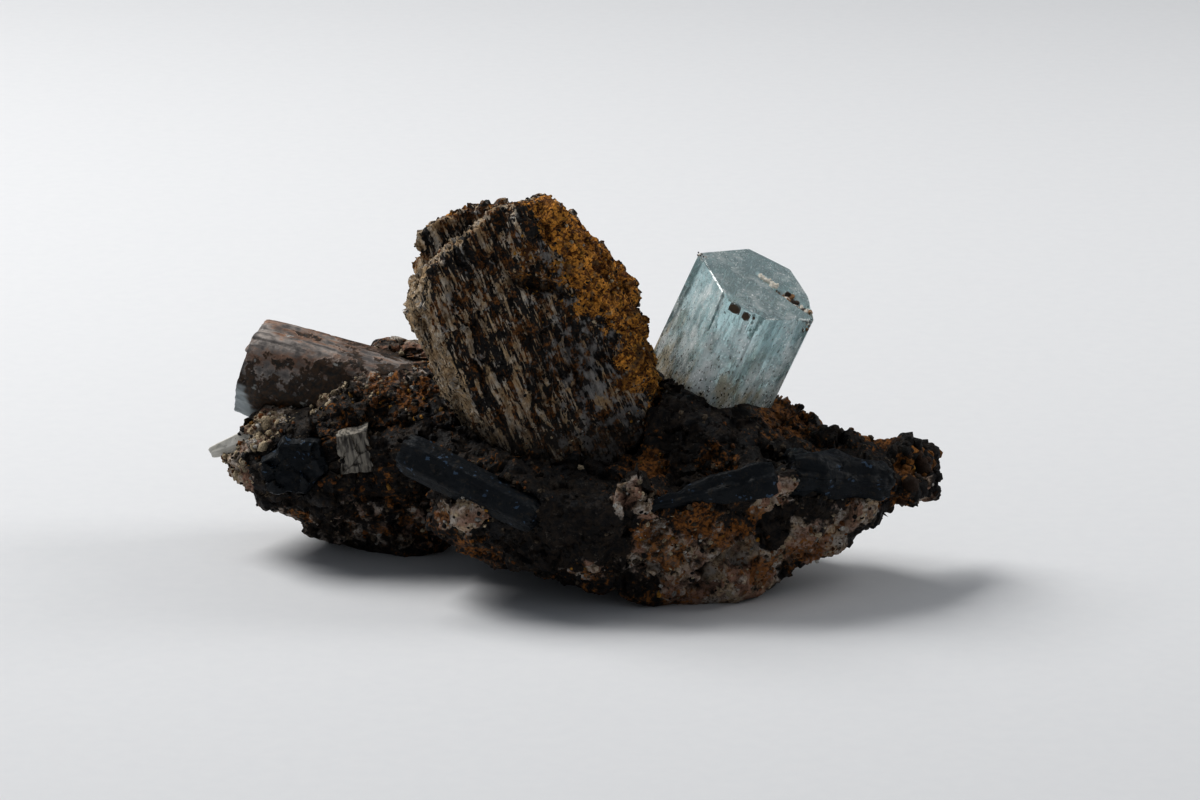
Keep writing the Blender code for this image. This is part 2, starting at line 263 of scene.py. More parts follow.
    def relief(self, height, strength, depth):
        """Bends the shading by a height, with its depth in millimetres."""
        feeds = {"Height": height, "Strength": strength, "Distance": depth * mm}
        self.feed(self.shader.inputs["Normal"], self.add("ShaderNodeBump", feeds).outputs["Normal"])

    def wear(self, **values):
        """Feeds the shader: colour, roughness and the rest, by their names with _ for a space."""
        for key, value in values.items():
            self.feed(self.shader.inputs[key.replace("_", " ")], value)


def fit(obj, finish, node=None, sharp=None):
    """Dress a piece, let it ride with the rock and take the place of its CAD node."""
    obj.data.materials.clear()
    obj.data.materials.append(finish.material)
    obj.data.shade_smooth()
    if sharp is not None:
        obj.data.set_sharp_from_angle(angle=np.radians(sharp))
    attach(obj, "root")
    if node:
        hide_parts(node)


def share_on(obj, **shares):
    """Keep one number of each name for each point of the piece."""
    for name, values in shares.items():
        kept = obj.data.attributes.new(name, "FLOAT", "POINT")
        kept.data.foreach_set("value", np.asarray(values, np.float32).ravel())


def without_poles(values):
    """The values of a closed skin's points in order, from those of its rings."""
    return np.concatenate(
        (values[0].mean(keepdims=True), values[1:-1].ravel(), values[-1].mean(keepdims=True)))


aquamarine_axes = crystal_axes(aquamarine_axis, 0.0)
aquamarine_start = aquamarine_top - aquamarine_axes[2] * aquamarine_length
seats.append((np.array(aquamarine_corners), aquamarine_length, aquamarine_start, aquamarine_axes))
rings, inward, around_mm = prism_rings(
    aquamarine_corners, aquamarine_length, aquamarine_around, rows=84, rounding=aquamarine_rounding,
    cap_rows=44)
centre = rings[0].mean(0)
side = inward[:, None] == 0
cap = (inward[:, None] > 0) & (rings[..., 2] > 1)
outward = rings[..., :2] - centre[:2]
outward /= np.maximum(np.linalg.norm(outward, axis=-1, keepdims=True), 1e-6)
from_top = aquamarine_length - rings[..., 2]
lengthwise = np.stack(np.broadcast_arrays(around_mm[None], rings[..., 2] * 0.05, 0.0), -1)
lines = 0.022 * drift(lengthwise, 0.9, 1) + 0.010 * drift(lengthwise, 0.35, 2)
corner_points = np.array(aquamarine_corners)
side_lengths = np.linalg.norm(np.roll(corner_points, -1, 0) - corner_points, axis=1)
corner_at = np.concatenate(((0,), np.cumsum(side_lengths)))
step_depth = 0.28
growth_steps = ((1, -0.55, 0.45, 3.6, 1.0), (2, -0.5, 0.5, 2.4, 1.0), (3, -2.1, 0.3, 1.8, 0.6))
stepped = 0.0
for corner, shift, half_width, length_down, share in growth_steps:
    fading = np.clip(1 - from_top / length_down, 0, 1)
    near_corner = np.abs(around_mm - corner_at[corner] - shift) < half_width * fading
    stepped = stepped + near_corner * step_depth * share
push = np.where(side, lines - stepped, 0.0)
rings[..., :2] += outward * push[..., None]
groove_from = np.array((0.0, 2.4))
groove_to = np.array((5.8, -1.4))
groove_length = 6.9
groove_way = (groove_to - groove_from) / np.linalg.norm(groove_to - groove_from)
groove_across = np.array((-groove_way[1], groove_way[0]))
to_groove = rings[..., :2] - groove_from
run = to_groove @ groove_way
across = to_groove @ groove_across + 0.25 * drift(rings, 0.9, 3)
reach = np.clip(run / groove_length, 0, 1)
groove = np.clip(1 - np.abs(across) / (0.40 + 0.85 * reach), 0, 1) * (run > 0) * (run < 8)
corner_gone = np.clip((across - 0.1) / 0.3, 0, 1) * np.clip((run - 5.2) / 0.4, 0, 1)
corner_depth = 0.9
waves = 0.018 * drift(rings * (1, 1, 0), 1.6, 4)
rings[..., 2] += np.where(cap, waves - groove * (0.35 + 0.75 * reach) - corner_gone * corner_depth, 0.0)
top_edge = (from_top < 0.001) & side
rings[..., 2] -= np.where(top_edge, 0.10 + groove * 0.9 + corner_gone * corner_depth, 0.0)
aquamarine = closed_skin("aquamarine", aquamarine_start + rings @ aquamarine_axes)
share_on(
    aquamarine, root_ward=without_poles(np.clip(from_top / 12.0, 0, 1)),
    side=without_poles(np.broadcast_to(side * 1.0, from_top.shape)),
    broken=without_poles(np.clip(groove * 2 + corner_gone, 0, 1) * cap))

clear_blue = (0.66, 0.84, 0.86)
milk_white = (0.96, 1.0, 0.99)
stain_tan = (0.47, 0.36, 0.20)
speck_black = (0.04, 0.03, 0.02)
painted_glint_white = (1.0, 1.0, 1.0)
beryl_ior = 1.577
sea_green = (0.46, 0.80, 0.80, 1.0)
absorbed_per_metre = 27.0
beryl = Finish("aquamarine")
root_ward = beryl.share("root_ward")
on_side = beryl.share("side")
broken = beryl.share("broken")
threads = beryl.grown(aquamarine_axes, (0.30, 0.30, 3.2))
milk = beryl.grown(aquamarine_axes, (1.9, 1.9, 3.0))
veil = beryl.grown(aquamarine_axes, (0.7, 0.7, 1.2), 5.0)
specks = beryl.grown(aquamarine_axes, (0.16, 0.16, 0.30), 2.0)
glitter = beryl.grown(aquamarine_axes, (0.13, 0.13, 0.22), 1.0)
stain = beryl.grown(aquamarine_axes, (1.0, 1.0, 2.6), 5.0)
speck_here = beryl.between(beryl.sum((specks, 1.0), (root_ward, 0.12), (on_side, 0.03)), 0.71, 0.75)
# Small white flecks where the noise peaks, on the flat end and the sides: painted glints, which also let
# less light through.
painted_glints_here = beryl.between(beryl.sum((glitter, 1.0), (milk, 0.15), (on_side, 0.01)), 0.76, 0.80)
stain_here = beryl.patches(0.12, 0.40, (stain, 1.4), (milk, -0.5), (root_ward, 0.85), (on_side, 0.1))
haze = beryl.patches(-0.25, 0.35, (milk, 1.0), (veil, 0.8), (threads, 0.35), (root_ward, 0.25))
body_colour = beryl.mix(haze, clear_blue, milk_white)
body_colour = beryl.cover(body_colour, stain_here, 0.75, stain_tan)
body_colour = beryl.mix(speck_here, body_colour, speck_black)
body_colour = beryl.mix(painted_glints_here, body_colour, painted_glint_white)
clear_side = beryl.sum((beryl.sum((haze, -0.40), plus=0.92), on_side))
clear_cap = beryl.sum((on_side, -0.72), (haze, -0.20), plus=0.72)
see_through = beryl.sum(
    (speck_here, -0.9), (painted_glints_here, -0.6), (stain_here, -0.35), (broken, -0.25), (clear_side, 1.0),
    (clear_cap, 1.0))
beryl.wear(
    Base_Color=body_colour,
    Transmission_Weight=see_through,
    Roughness=beryl.sum((threads, 0.10), (veil, 0.10), (broken, 0.25), (on_side, 0.03)),
    IOR=beryl_ior,
)
beryl.relief(beryl.sum((threads, 0.010), (veil, 0.008), (speck_here, -0.01), (broken, 0.05)), 0.6, 1.0)
inside = beryl.add("ShaderNodeVolumeAbsorption", {"Color": sea_green, "Density": absorbed_per_metre})
beryl.tree.links.new(inside.outputs[0], beryl.tree.nodes["Material Output"].inputs["Volume"])
fit(aquamarine, beryl, "aquamarine_crystal", 32)


# The needles inside the aquamarine. Hair-fine hollow tubes and flakes that grew with the crystal, all along
# its length, thickest near the root: they give it its milky streaks.
grain_rng = np.random.default_rng(7)
golden = (1 + 5 ** 0.5) / 2
golden_corners = np.array([(0, a, b * golden) for a, b in product((-1, 1), repeat=2)])
knob = np.vstack([np.roll(golden_corners, -shift, 1) for shift in range(3)]) / np.hypot(1, golden)
knob_shell = bmesh.new()
for corner in knob:
    knob_shell.verts.new(corner)
bmesh.ops.convex_hull(knob_shell, input=knob_shell.verts[:])
knob_faces = np.array([[vert.index for vert in face.verts] for face in knob_shell.faces])
knob_shell.free()


def many(name, places, shapes, faces):
    """Copies of one small closed shape joined in one mesh: each copy is its own points about its own
    place."""
    points = places[:, None] + shapes
    count, each = shapes.shape[:2]
    every = faces[None] + (np.arange(count) * each)[:, None, None]
    mesh = bpy.data.meshes.new(name)
    mesh.from_pydata((points.reshape(-1, 3) * mm).tolist(), [], every.reshape(-1, faces.shape[1]).tolist())
    return linked(name, mesh)


needle = np.array(
    [(np.cos(a), np.sin(a), 0.0) for a in np.radians((0, 120, 240))] + [(0, 0, 1.0), (0, 0, -1.0)])
needle_faces = np.array([(0, 1, 3), (1, 2, 3), (2, 0, 3), (1, 0, 4), (2, 1, 4), (0, 2, 4)])
needle_count = 1500
needle_spread = 4.3
needle_reach = 13.4
deepest_end = 13.6
turn = grain_rng.uniform(0, 2 * np.pi, needle_count)
spread = np.sqrt(grain_rng.uniform(0, 1, needle_count)) * needle_spread
down = needle_reach * grain_rng.uniform(0.05, 1, needle_count) ** 0.75
needle_places = aquamarine_top + np.stack(
    (np.cos(turn) * spread, np.sin(turn) * spread * 1.1, -down), -1) @ aquamarine_axes
thick = grain_rng.uniform(0.012, 0.05, needle_count)
long = 0.08 + 1.6 * grain_rng.uniform(0, 1, needle_count) ** 3
long = np.minimum(long, np.minimum(down - 0.15, deepest_end - down).clip(0.1))
needle_shapes = needle[None] * np.stack((thick, thick, long), -1)[:, None]
needles = many("aquamarine_needles", needle_places, needle_shapes @ aquamarine_axes, needle_faces)
white_thread = Finish("white needles")
white_thread.wear(
    Base_Color=white_thread.mix(white_thread.noise(1.5), (0.80, 0.86, 0.88), (0.95, 0.97, 0.98)),
    Roughness=white_thread.between(white_thread.noise(0.6), 0.2, 0.8, 0.35, 0.6),
)
fit(needles, white_thread)


# The dirt on the aquamarine. Two square brown mica books and a flake lie just under its front top edge,
# brown and white grit fills the chipped groove, and a little more of it clings to two spots of the rim.
def grain_bed(name, places, sizes, rng, squareness=0.75):
    """Blocky grains at these places: each is a twenty-sided knob pulled towards a box by raising its
    coordinates to a power, with three half sizes of its own and its own turn."""
    count = len(places)
    boxed = np.sign(knob) * np.abs(knob) ** squareness
    proportions = rng.uniform(0.6, 1.25, (count, 3)) * np.asarray(sizes).reshape(-1, 1)
    turns = np.linalg.qr(rng.normal(size=(count, 3, 3)))[0]
    turns *= np.sign(np.linalg.det(turns))[:, None, None]
    wobble = 1 + rng.uniform(-0.16, 0.16, (count, len(knob), 1))
    obj = many(name, places, (boxed[None] * wobble * proportions[:, None]) @ turns, knob_faces)
    share_on(obj, tone=np.repeat(rng.uniform(0, 1, count), len(knob)))
    return obj


def on_aquamarine(around_share, below, out=0.0):
    """Places on the prism's side, from the distance along the outline and below its flat end, in
    millimetres."""
    outline, steps = outline_of(aquamarine_corners, aquamarine_around, aquamarine_rounding)
    flat = np.stack([np.interp(around_share, steps, outline[:, i]) for i in range(2)], -1)
    flat *= 1 + out / np.linalg.norm(flat, axis=-1, keepdims=True)
    return aquamarine_top + np.concatenate((flat, -np.asarray(below)[:, None]), -1) @ aquamarine_axes


mica_at = corner_at[1] + np.array((0.95, 2.10, 2.75))
mica_down = np.array((0.50, 0.62, 0.45))
mica_half = np.array(((0.52, 0.16, 0.38), (0.34, 0.14, 0.36), (0.12, 0.10, 0.12)))
face_way = np.subtract(aquamarine_corners[2], aquamarine_corners[1])
face_axes = crystal_axes(aquamarine_axis, np.degrees(np.arctan2(face_way[1], face_way[0])))
book = np.sign(knob) * np.abs(knob) ** 0.2
book = book / np.abs(book).max(0)
mica_turned = book[None] * mica_half[:, None] * (1 + 0.10 * grain_rng.uniform(-1, 1, (3, len(knob), 3)))
mica_places = on_aquamarine(mica_at, mica_down, -0.10)
mica = many("aquamarine_mica_books", mica_places, mica_turned @ face_axes, knob_faces)
mica_brown = Finish("brown mica")
mica_brown.wear(
    Base_Color=mica_brown.mix(mica_brown.noise(0.4), (0.10, 0.055, 0.02), (0.03, 0.018, 0.010)),
    Roughness=mica_brown.between(mica_brown.noise(0.3), 0.3, 0.7, 0.4, 0.7),
)
fit(mica, mica_brown, sharp=20)

grit_count = 130
corner_count = 14
side_count = 24
white_reach = 2.3
grit_run = np.sort(grain_rng.uniform(0.2, 5.7, grit_count))
grit_off = grain_rng.normal(0, 0.22, grit_count) + 0.10
grit_flat = groove_from + grit_run[:, None] * groove_way + grit_off[:, None] * groove_across
grit_deep = np.where(
    grit_run < white_reach, 0.10,
    0.32 + 0.7 * np.clip(grit_run / groove_length, 0, 1) * np.clip(1 - np.abs(grit_off) / 0.7, 0, 1))
grit_places = aquamarine_top + np.concatenate((grit_flat, -grit_deep[:, None]), -1) @ aquamarine_axes
corner_flat = np.array((-4.9, 2.0)) + grain_rng.normal(0, 0.25, (corner_count, 2))
corner_drop = grain_rng.uniform(-0.25, 0.0, (corner_count, 1))
corner_grit = aquamarine_top + np.concatenate((corner_flat, corner_drop), -1) @ aquamarine_axes
side_grit = on_aquamarine(
    corner_at[3] - grain_rng.uniform(0.0, 0.8, side_count), grain_rng.uniform(0.1, 1.3, side_count), -0.06)
grit_places = np.vstack((grit_places, corner_grit, side_grit))
grit_sizes = grain_rng.uniform(0.07, 0.20, len(grit_places))
grit_sizes[:grit_count] *= 1 + 0.7 * (np.abs(grit_run - 4.4) < 1.3)
grit_sizes[grit_count:] *= 0.7
grit = grain_bed("aquamarine_grit", grit_places, grit_sizes, grain_rng)
share_on(grit, white=np.repeat(np.arange(len(grit_places)) < (grit_run < white_reach).sum(), len(knob)))
grit_finish = Finish("brown and white grit")
grit_tone = grit_finish.sum((grit_finish.share("tone"), 1.0), (grit_finish.share("white"), 0.9))
grit_colour = grit_finish.mix(
    grit_finish.between(grit_tone, 0.45, 0.55), (0.03, 0.015, 0.006), (0.26, 0.13, 0.045))
grit_colour = grit_finish.mix(grit_finish.between(grit_tone, 0.74, 0.78), grit_colour, (0.75, 0.70, 0.62))
grit_finish.wear(
    Base_Color=grit_colour,
    Roughness=grit_finish.between(grit_finish.noise(0.2), 0.3, 0.7, 0.35, 0.8),
)
fit(grit, grit_finish, sharp=20)


# The stained beryl. A stouter six-sided prism lying behind the wing of the rock, cloudy and coated with
# brown iron stain. Its free end is broken across, and its root is lost in the rock.
def regular(radius, flatten, sides):
    """The corners of a regular prism, flattened across."""
    turns = 2 * np.pi * (np.arange(sides) + 0.5) / sides
    return np.stack((radius * np.cos(turns), radius * flatten * np.sin(turns)), -1)


def broken_cells(points, size, salt):
    """For each point: where it lies from the nearest of the random seeds, one in each cell of this size,
    how much farther off the second nearest is, and four random numbers of the nearest."""
    scaled = points / size
    base = np.floor(scaled)
    near = np.full(len(scaled), 9.0)
    second = near.copy()
    seed = np.zeros_like(scaled)
    mark = np.zeros((len(scaled), 4))
    for corner in product((-1, 0, 1), repeat=3):
        cell = base + corner
        numbers = cell_random(cell, salt, 7)
        centre_at = cell + numbers[:, :3]
        away = np.linalg.norm(scaled - centre_at, axis=1)
        closer = away < near
        second = np.where(closer, near, np.minimum(second, away))
        near = np.where(closer, away, near)
        seed[closer] = centre_at[closer]
        mark[closer] = numbers[closer, 3:]
    return (scaled - seed) * size, (second - near) * size, mark


def facets(points, size, salt):
    """Heights, as a share of the size, of a surface broken into flat facets: in each seed's cell a plane
    through the seed, with its own tilt and lift. Also the distance to the crack beside it, and its random
    numbers."""
    away, crack, mark = broken_cells(points, size, salt)
    tilt = mark[:, :3] * 2 - 1
    return (mark[:, 3] - 0.5) + (away * tilt).sum(1) / size, crack, mark


def plain_prism(
    name, sizes, salt, ribs, roughness_of_ends, worn, rounding=2, bitten=0.5, around=150, rows=90):
    """A prism with lengthwise growth ribs and broken ends: ribs push the sides in and out by soft noise
    that runs along it, and shorter noise bites into them by the share `bitten`. Facets lift and sink the
    ends, their edges are worn back by up to `worn` millimetres, and `slant` tilts the first end."""
    corners, length, start, axis, roll, taper, slant = sizes
    axes = crystal_axes(axis, roll)
    rings, inward, steps = prism_rings(corners, length, around, rows, rounding, 16, taper)
    along = rings[..., 2].copy()
    rib_line = np.stack(np.broadcast_arrays(steps[None], along * 0.07, 0.0), -1)
    rib = ribs * (drift(rib_line, 1.1, salt) + 0.6 * drift(rib_line, 0.45, salt + 1))
    bite = bitten * (drift(rings, 2.3, salt + 2) + 0.5 * drift(rings, 0.9, salt + 7)) * ribs
    near_end = np.exp(-np.minimum(along, length - along) / (1.2 * worn + 0.05))
    chips = facets(rings.reshape(-1, 3), 0.9, salt + 6)[0].reshape(along.shape)
    wear = worn * near_end * (0.55 + 0.5 * chips) + 0.12 * np.clip(-chips - 0.25, 0, 1)
    width = np.linalg.norm(rings[..., :2], axis=-1, keepdims=True)
    outward = rings[..., :2] / np.maximum(width, 1e-6)
    rings[..., :2] += outward * ((rib + bite - wear) * (1 - inward[:, None]))[..., None]
    lift = facets(rings.reshape(-1, 3), 1.6, salt + 3)[0].reshape(along.shape)
    fine = drift(rings, 0.5, salt + 4) * 0.2
    rings[..., 2] += (lift + fine) * roughness_of_ends * np.clip(inward[:, None] * 5, 0, 1)
    rings[..., 2] += slant * rings[..., 1] * (along < 1e-6)
    seats.append((corners, length, np.array(start), axes))
    obj = closed_skin(name, np.array(start) + rings @ axes)
    share_on(obj, height=without_poles(along / length))
    return obj, axes


stained_sizes = (regular(4.7, 1.0, 6), 21.0, (-28.8, 13.6, 15.2), (0.964, -0.069, -0.258), 10.0, 1.0, -0.12)
stained, stained_axes = plain_prism("stained_beryl", stained_sizes, 20, 0.10, 0.35, 0.45, 5)
coat = Finish("stained beryl")
lines_on = coat.grown(stained_axes, (0.7, 0.7, 7.0))
blotches = coat.grown(stained_axes, (2.4, 2.4, 3.4))
islands = coat.grown(stained_axes, (1.3, 1.3, 1.8), 2.0)
crumbs = coat.noise(0.35, 3.0)
# Darker towards the bottom of the prism: the dark patches gather there.
low_down = coat.add("ShaderNodeSeparateXYZ", {"Vector": coat.place}).outputs["Z"]
low_share = coat.between(low_down, 0.0195, 0.0125)
mottle = coat.noise(0.8, 6.0)
clean = coat.mix(
    coat.patches(-0.25, 0.3, (lines_on, 0.8), (mottle, 1.0)), (0.10, 0.09, 0.085), (0.50, 0.44, 0.40))
rosy_tone = coat.mix(coat.between(mottle, 0.35, 0.7), (0.11, 0.055, 0.03), (0.34, 0.20, 0.135))
rosy = coat.mix(
    coat.patches(-0.12, 0.16, (lines_on, 0.9), (blotches, 1.0), (mottle, 0.7)), clean, rosy_tone)
dark_here = coat.patches(
    -0.06, 0.08, (low_share, 0.55), (blotches, 1.2), (mottle, 1.1), (crumbs, 0.5), (islands, -0.25))
dark_stain = coat.mix(coat.between(crumbs, 0.3, 0.7), (0.004, 0.003, 0.002), (0.055, 0.026, 0.009))
stain_colour = coat.mix(dark_here, rosy, dark_stain)
bare = coat.patches(0.20, 0.30, (islands, 1.0), (mottle, 0.6), (crumbs, 0.3))
stain_colour = coat.cover(stain_colour, bare, 0.8, (0.36, 0.37, 0.36))
foot_clear = coat.between(
    coat.sum((low_down, -1.0), (islands, 0.003), (coat.share("height"), -0.035)), -0.0132, -0.0122)
stain_colour = coat.cover(stain_colour, foot_clear, 0.9, (0.40, 0.45, 0.47))
coat.wear(
    Base_Color=stain_colour,
    Roughness=coat.sum((crumbs, 0.35), (dark_here, 0.2), plus=0.25),
)
coat.relief(coat.sum((crumbs, 0.10), (dark_here, 0.07), (lines_on, 0.12)), 0.7, 1.0)
fit(stained, coat, "stained_beryl_prism", 35)


# The black tourmalines. Ribbed six-sided prisms of iron tourmaline that grew into the rock: one lies half
# sunk along the front, one shows its broken end on the left, and two lie along the right ledge.
schorl = Finish("black tourmaline")
# Soft patches of bluish black over the near-black: a painted sheen.
painted_sheen = schorl.noise(2.2, 3.0)
scratches = schorl.noise(0.16, 4.0)
splinter, splinter_tones = schorl.facet(0.5, schorl.warped(0.5, 0.25))
crumble, crumble_tones = schorl.facet(0.22)
# Rare blue flecks on the splinters and crumbs: painted glints, a little glossier than the rest.
painted_blue_glints = schorl.between(schorl.sum((splinter_tones[0], 0.7), (crumble_tones[1], 0.3)), 0.90, 0.92)
dust = schorl.patches(
    0.06, 0.34, (schorl.noise(0.7, 6.0), 1.2), (schorl.noise(0.15, 3.0), 0.8), (crumble_tones[2], 0.15))
schorl_colour = schorl.mix(painted_sheen, (0.002, 0.003, 0.004), (0.010, 0.014, 0.019))
schorl_colour = schorl.cover(
    schorl_colour, dust, 0.6, schorl.mix(scratches, (0.018, 0.014, 0.010), (0.075, 0.062, 0.048)))
schorl_colour = schorl.cover(schorl_colour, painted_blue_glints, 0.7, (0.06, 0.10, 0.16))
schorl.wear(
    Base_Color=schorl_colour,
    Roughness=schorl.sum((scratches, 0.35), (dust, 0.3), (painted_blue_glints, -0.15), plus=0.28),
    Specular_IOR_Level=0.15,
)
schorl.relief(schorl.sum((scratches, 0.05), (splinter, 0.14), (crumble, 0.05)), 0.8, 1.0)
tourmalines = (
    ("front_tourmaline", "front_tourmaline_prism", 0.06, 0.45, 0.55, 1.0,
     (regular(1.9, 1.0, 6), 12.8, (-14.6, -7.0, 13.1), (0.86, -0.34, -0.34), 0.0, 0.85, 0.0)),
    ("left_tourmaline_end", "left_tourmaline", 0.20, 0.55, 0.50, 1.6,
     (regular(3.4, 0.8, 6), 5.0, (-24.0, 6.6, 8.6), (-0.10, -0.96, 0.12), 20.0, 1.0, 0.0)),
    ("ledge_tourmaline_blade", "ledge_tourmaline", 0.12, 0.30, 0.30, 3.0,
     (regular(1.7, 0.6, 6), 11.0, (16.4, -10.6, 11.9), (-0.93, -0.05, -0.21), 15.0, 0.35, 0.0)),
    ("right_tourmaline_block", "right_tourmaline", 0.22, 0.60, 0.65, 2.0,
     (regular(2.5, 0.9, 6), 9.4, (17.5, -7.7, 11.6), (0.93, 0.33, -0.2), 0.0, 0.75, 0.0)),
)
for index, (name, node, ribs, ends, worn, bitten, sizes) in enumerate(tourmalines):
    prism, _ = plain_prism(name, sizes, 40 + 10 * index, ribs, ends, worn, 3, bitten)
    fit(prism, schorl, node, 40)


# The feldspar block. A small cleaved block beside the left tourmaline, grey-white with fine upright
# streaks and dark blots. It is grown into the rock.
feldspar_sizes = (regular(2.1, 1.3, 4), 4.6, (-19.4, 6.0, 10.2), (0.05, -0.98, 0.1), 8.0, 1.0, 0.0)
feldspar_block, feldspar_axes = plain_prism("feldspar_block", feldspar_sizes, 90, 0.16, 0.45, 0.40)
fibres = Finish("streaked feldspar")
fibre = fibres.grown(feldspar_axes, (0.26, 1.5, 0.6))
blots = fibres.noise(1.2, 3.0)
fibre_colour = fibres.mix(fibres.between(fibre, 0.36, 0.60), (0.040, 0.034, 0.029), (0.27, 0.245, 0.205))
fibre_colour = fibres.mix(fibres.between(blots, 0.55, 0.68), fibre_colour, (0.035, 0.032, 0.03))
fibres.wear(
    Base_Color=fibre_colour,
    Roughness=fibres.between(blots, 0.3, 0.7, 0.55, 0.85),
)
fibres.relief(fibre, 0.6, 0.14)
fit(feldspar_block, fibres, "left_feldspar_block", 30)


# The tip blade. A thin pale platy crystal standing out of the left tip of the rock, cloudy white and half
# clear.
blade_sizes = (regular(1.2, 0.45, 6), 4.4, (-27.9, 8.6, 10.1), (-0.93, 0.02, -0.34), 15.0, 0.5, 0.0)
blade, blade_axes = plain_prism("pale_tip_blade", blade_sizes, 110, 0.05, 0.15, 0.2, 2, 0.5, 90, 50)
pale = Finish("pale blade")
pale_cloud = pale.grown(blade_axes, (0.5, 0.5, 1.6), 3.0)
pale.wear(
    Base_Color=pale.mix(pale_cloud, (0.48, 0.45, 0.38), (0.78, 0.77, 0.73)),
    Roughness=pale.between(pale_cloud, 0.3, 0.7, 0.25, 0.5),
)
pale.relief(pale_cloud, 0.4, 0.08)
fit(blade, pale, "tip_blade_crystal", 35)


# The standing slab. Feldspar and black tourmaline grown through each other in steep laths, with a crust of
# orange-brown iron grains along its right and top edge, a raised lump at the top right and a plate behind
# it. Its foot is grown into the rock.
def grown_skin(node, name, cell):
    """A copy of a CAD node with its loose triangles joined up, grown again as one skin of small even
    cells."""
    shell = bmesh.new()
    shell.from_mesh(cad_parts[node].data)
    bmesh.ops.remove_doubles(shell, verts=shell.verts[:], dist=0.0005 * mm)
    mesh = bpy.data.meshes.new(name)
    shell.to_mesh(mesh)
    shell.free()
    obj = linked(name, mesh)
    step = obj.modifiers.new("even cells", "REMESH")
    step.mode = "VOXEL"
    step.voxel_size = cell * mm
    settle(obj)
    return obj


def settle(obj):
    """Put what the piece's modifiers make into its mesh, and take the modifiers off."""
    grown = bpy.data.meshes.new_from_object(obj.evaluated_get(bpy.context.evaluated_depsgraph_get()))
    obj.modifiers.clear()
    spent = obj.data
    obj.data = grown
    bpy.data.meshes.remove(spent)


def thinned(obj, most):
    """Take out the triangles that matter least until no more than `most` are left: flat faces lose theirs
    first."""
    step = obj.modifiers.new("thinner", "DECIMATE")
    step.ratio = min(1.0, most / (2 * len(obj.data.polygons)))
    settle(obj)


def read_points(obj, what="co"):
    """The places of all points in millimetres, or their outward directions."""
    values = np.empty(len(obj.data.vertices) * 3, np.float32)
    if what == "co":
        obj.data.vertices.foreach_get("co", values)
        return values.reshape(-1, 3).astype(float) / mm
    obj.data.vertex_normals.foreach_get("vector", values)
    return values.reshape(-1, 3).astype(float)


def write_points(obj, points):
    """Move all points to these places in millimetres."""
    obj.data.vertices.foreach_set("co", (points * mm).astype(np.float32).ravel())
    obj.data.update()


def ramp(values, low, high):
    """Smooth step from 0 at low to 1 at high."""
    part = np.clip((values - low) / (high - low), 0, 1)
    return part * part * (3 - 2 * part)


def spots(points, places):
    """The most that any of the spots gives: its strength in the middle, fading to nothing at its radius."""
    amount = np.zeros(len(points))
    for x, y, z, radius, strength in places:
        away = np.linalg.norm(points - (x, y, z), axis=1) / radius
        amount = np.maximum(amount, strength * np.clip(1.3 * (1 - away * away), 0, 1))
    return amount


def shaken(points, size, reach, salt):
    """The points, each pushed about by soft noise of this size along all three axes."""
    return points + reach * np.stack([drift(points, size, salt + i) for i in range(3)], -1)


def knobs(points, size, salt):
    """Heights, as a share of the size, of a surface of round knobs: a half ball over each seed's cell."""
    away, _, mark = broken_cells(points, size, salt)
    return np.sqrt(
        np.clip(1 - (away ** 2).sum(1) / (0.75 * size) ** 2, 0, 1)) * (0.5 + 0.6 * mark[:, 3]) - 0.5


slab_lean = np.radians((-12.0, -20.0, 12.0))
slab_axes = np.array(Matrix.Rotation(slab_lean[2], 3, "Z") @ Matrix.Rotation(slab_lean[1], 3, "Y")
                     @ Matrix.Rotation(slab_lean[0], 3, "X")).T
slab = grown_skin("standing_feldspar_slab", "standing_slab", 0.15)
slab_at = read_points(slab)
slab_out = read_points(slab, "normals")
x, y, z = slab_at.T
front = ramp(-slab_out[:, 1], 0.2, 0.6)
in_slab = shaken(slab_at, 1.6, 0.30, 230) @ slab_axes.T
lath, lath_crack, lath_mark = facets(in_slab / (1.0, 1.0, 5.6), 0.66, 210)
sliver, _, sliver_mark = facets(in_slab / (1.0, 1.0, 4.2), 0.34, 211)
granular = 0.40 * facets(shaken(slab_at, 1.0, 0.3, 233), 1.3, 212)[0] + 0.20 * knobs(slab_at, 0.6, 213)
blocks = facets(slab_at * (1, 1, 0.7), 2.8, 214)[0]
crust_line = 0.852 * x + 0.524 * z + 1.5 * drift(slab_at, 3.0, 201) + 1.1 * drift(slab_at, 1.1, 202)
back = ramp(y, 2.0, 3.2)
crust = np.maximum(
    ramp(crust_line, 11.3, 14.3) * (1 - 0.45 * back), back * (0.42 + 0.5 * drift(slab_at, 2.2, 203)))
upper_right = ramp(z, 22.0, 26.5) * ramp(x, -8.0, -4.0)
crust = np.maximum(crust, (1 - back) * upper_right * (0.45 + 0.35 * drift(slab_at, 1.7, 204)))
left_side = ramp(-slab_out[:, 0], 0.45, 0.75) * (1 - crust)
coarse = np.clip(np.maximum(crust + back, left_side * 0.8), 0, 1)
lump = ramp(z + 0.25 * x, 25.9, 26.3) * ramp(x, -6.0, -5.2) * ramp(-y, -2.6, -1.6)
undercut = np.exp(-((z + 0.25 * x - 25.5) / 0.42) ** 2) * front
undercut *= ramp(x, -6.6, -5.4) * (1 - ramp(x, -1.2, -0.2))
notch = np.array((1.0, 0.0, 27.4))
foot = 1 - ramp(z, 13.2, 16.5)
rise = 0.32 * blocks + (1 - coarse) * (0.26 * lath + 0.14 * sliver - 0.05) + coarse * granular
rise += 0.75 * lump * front - 0.5 * undercut
rise -= 0.30 * front * ramp(x, -5.0, -3.5) * (1 - ramp(crust_line, 12.0, 12.8)) * ramp(z, 15, 20)
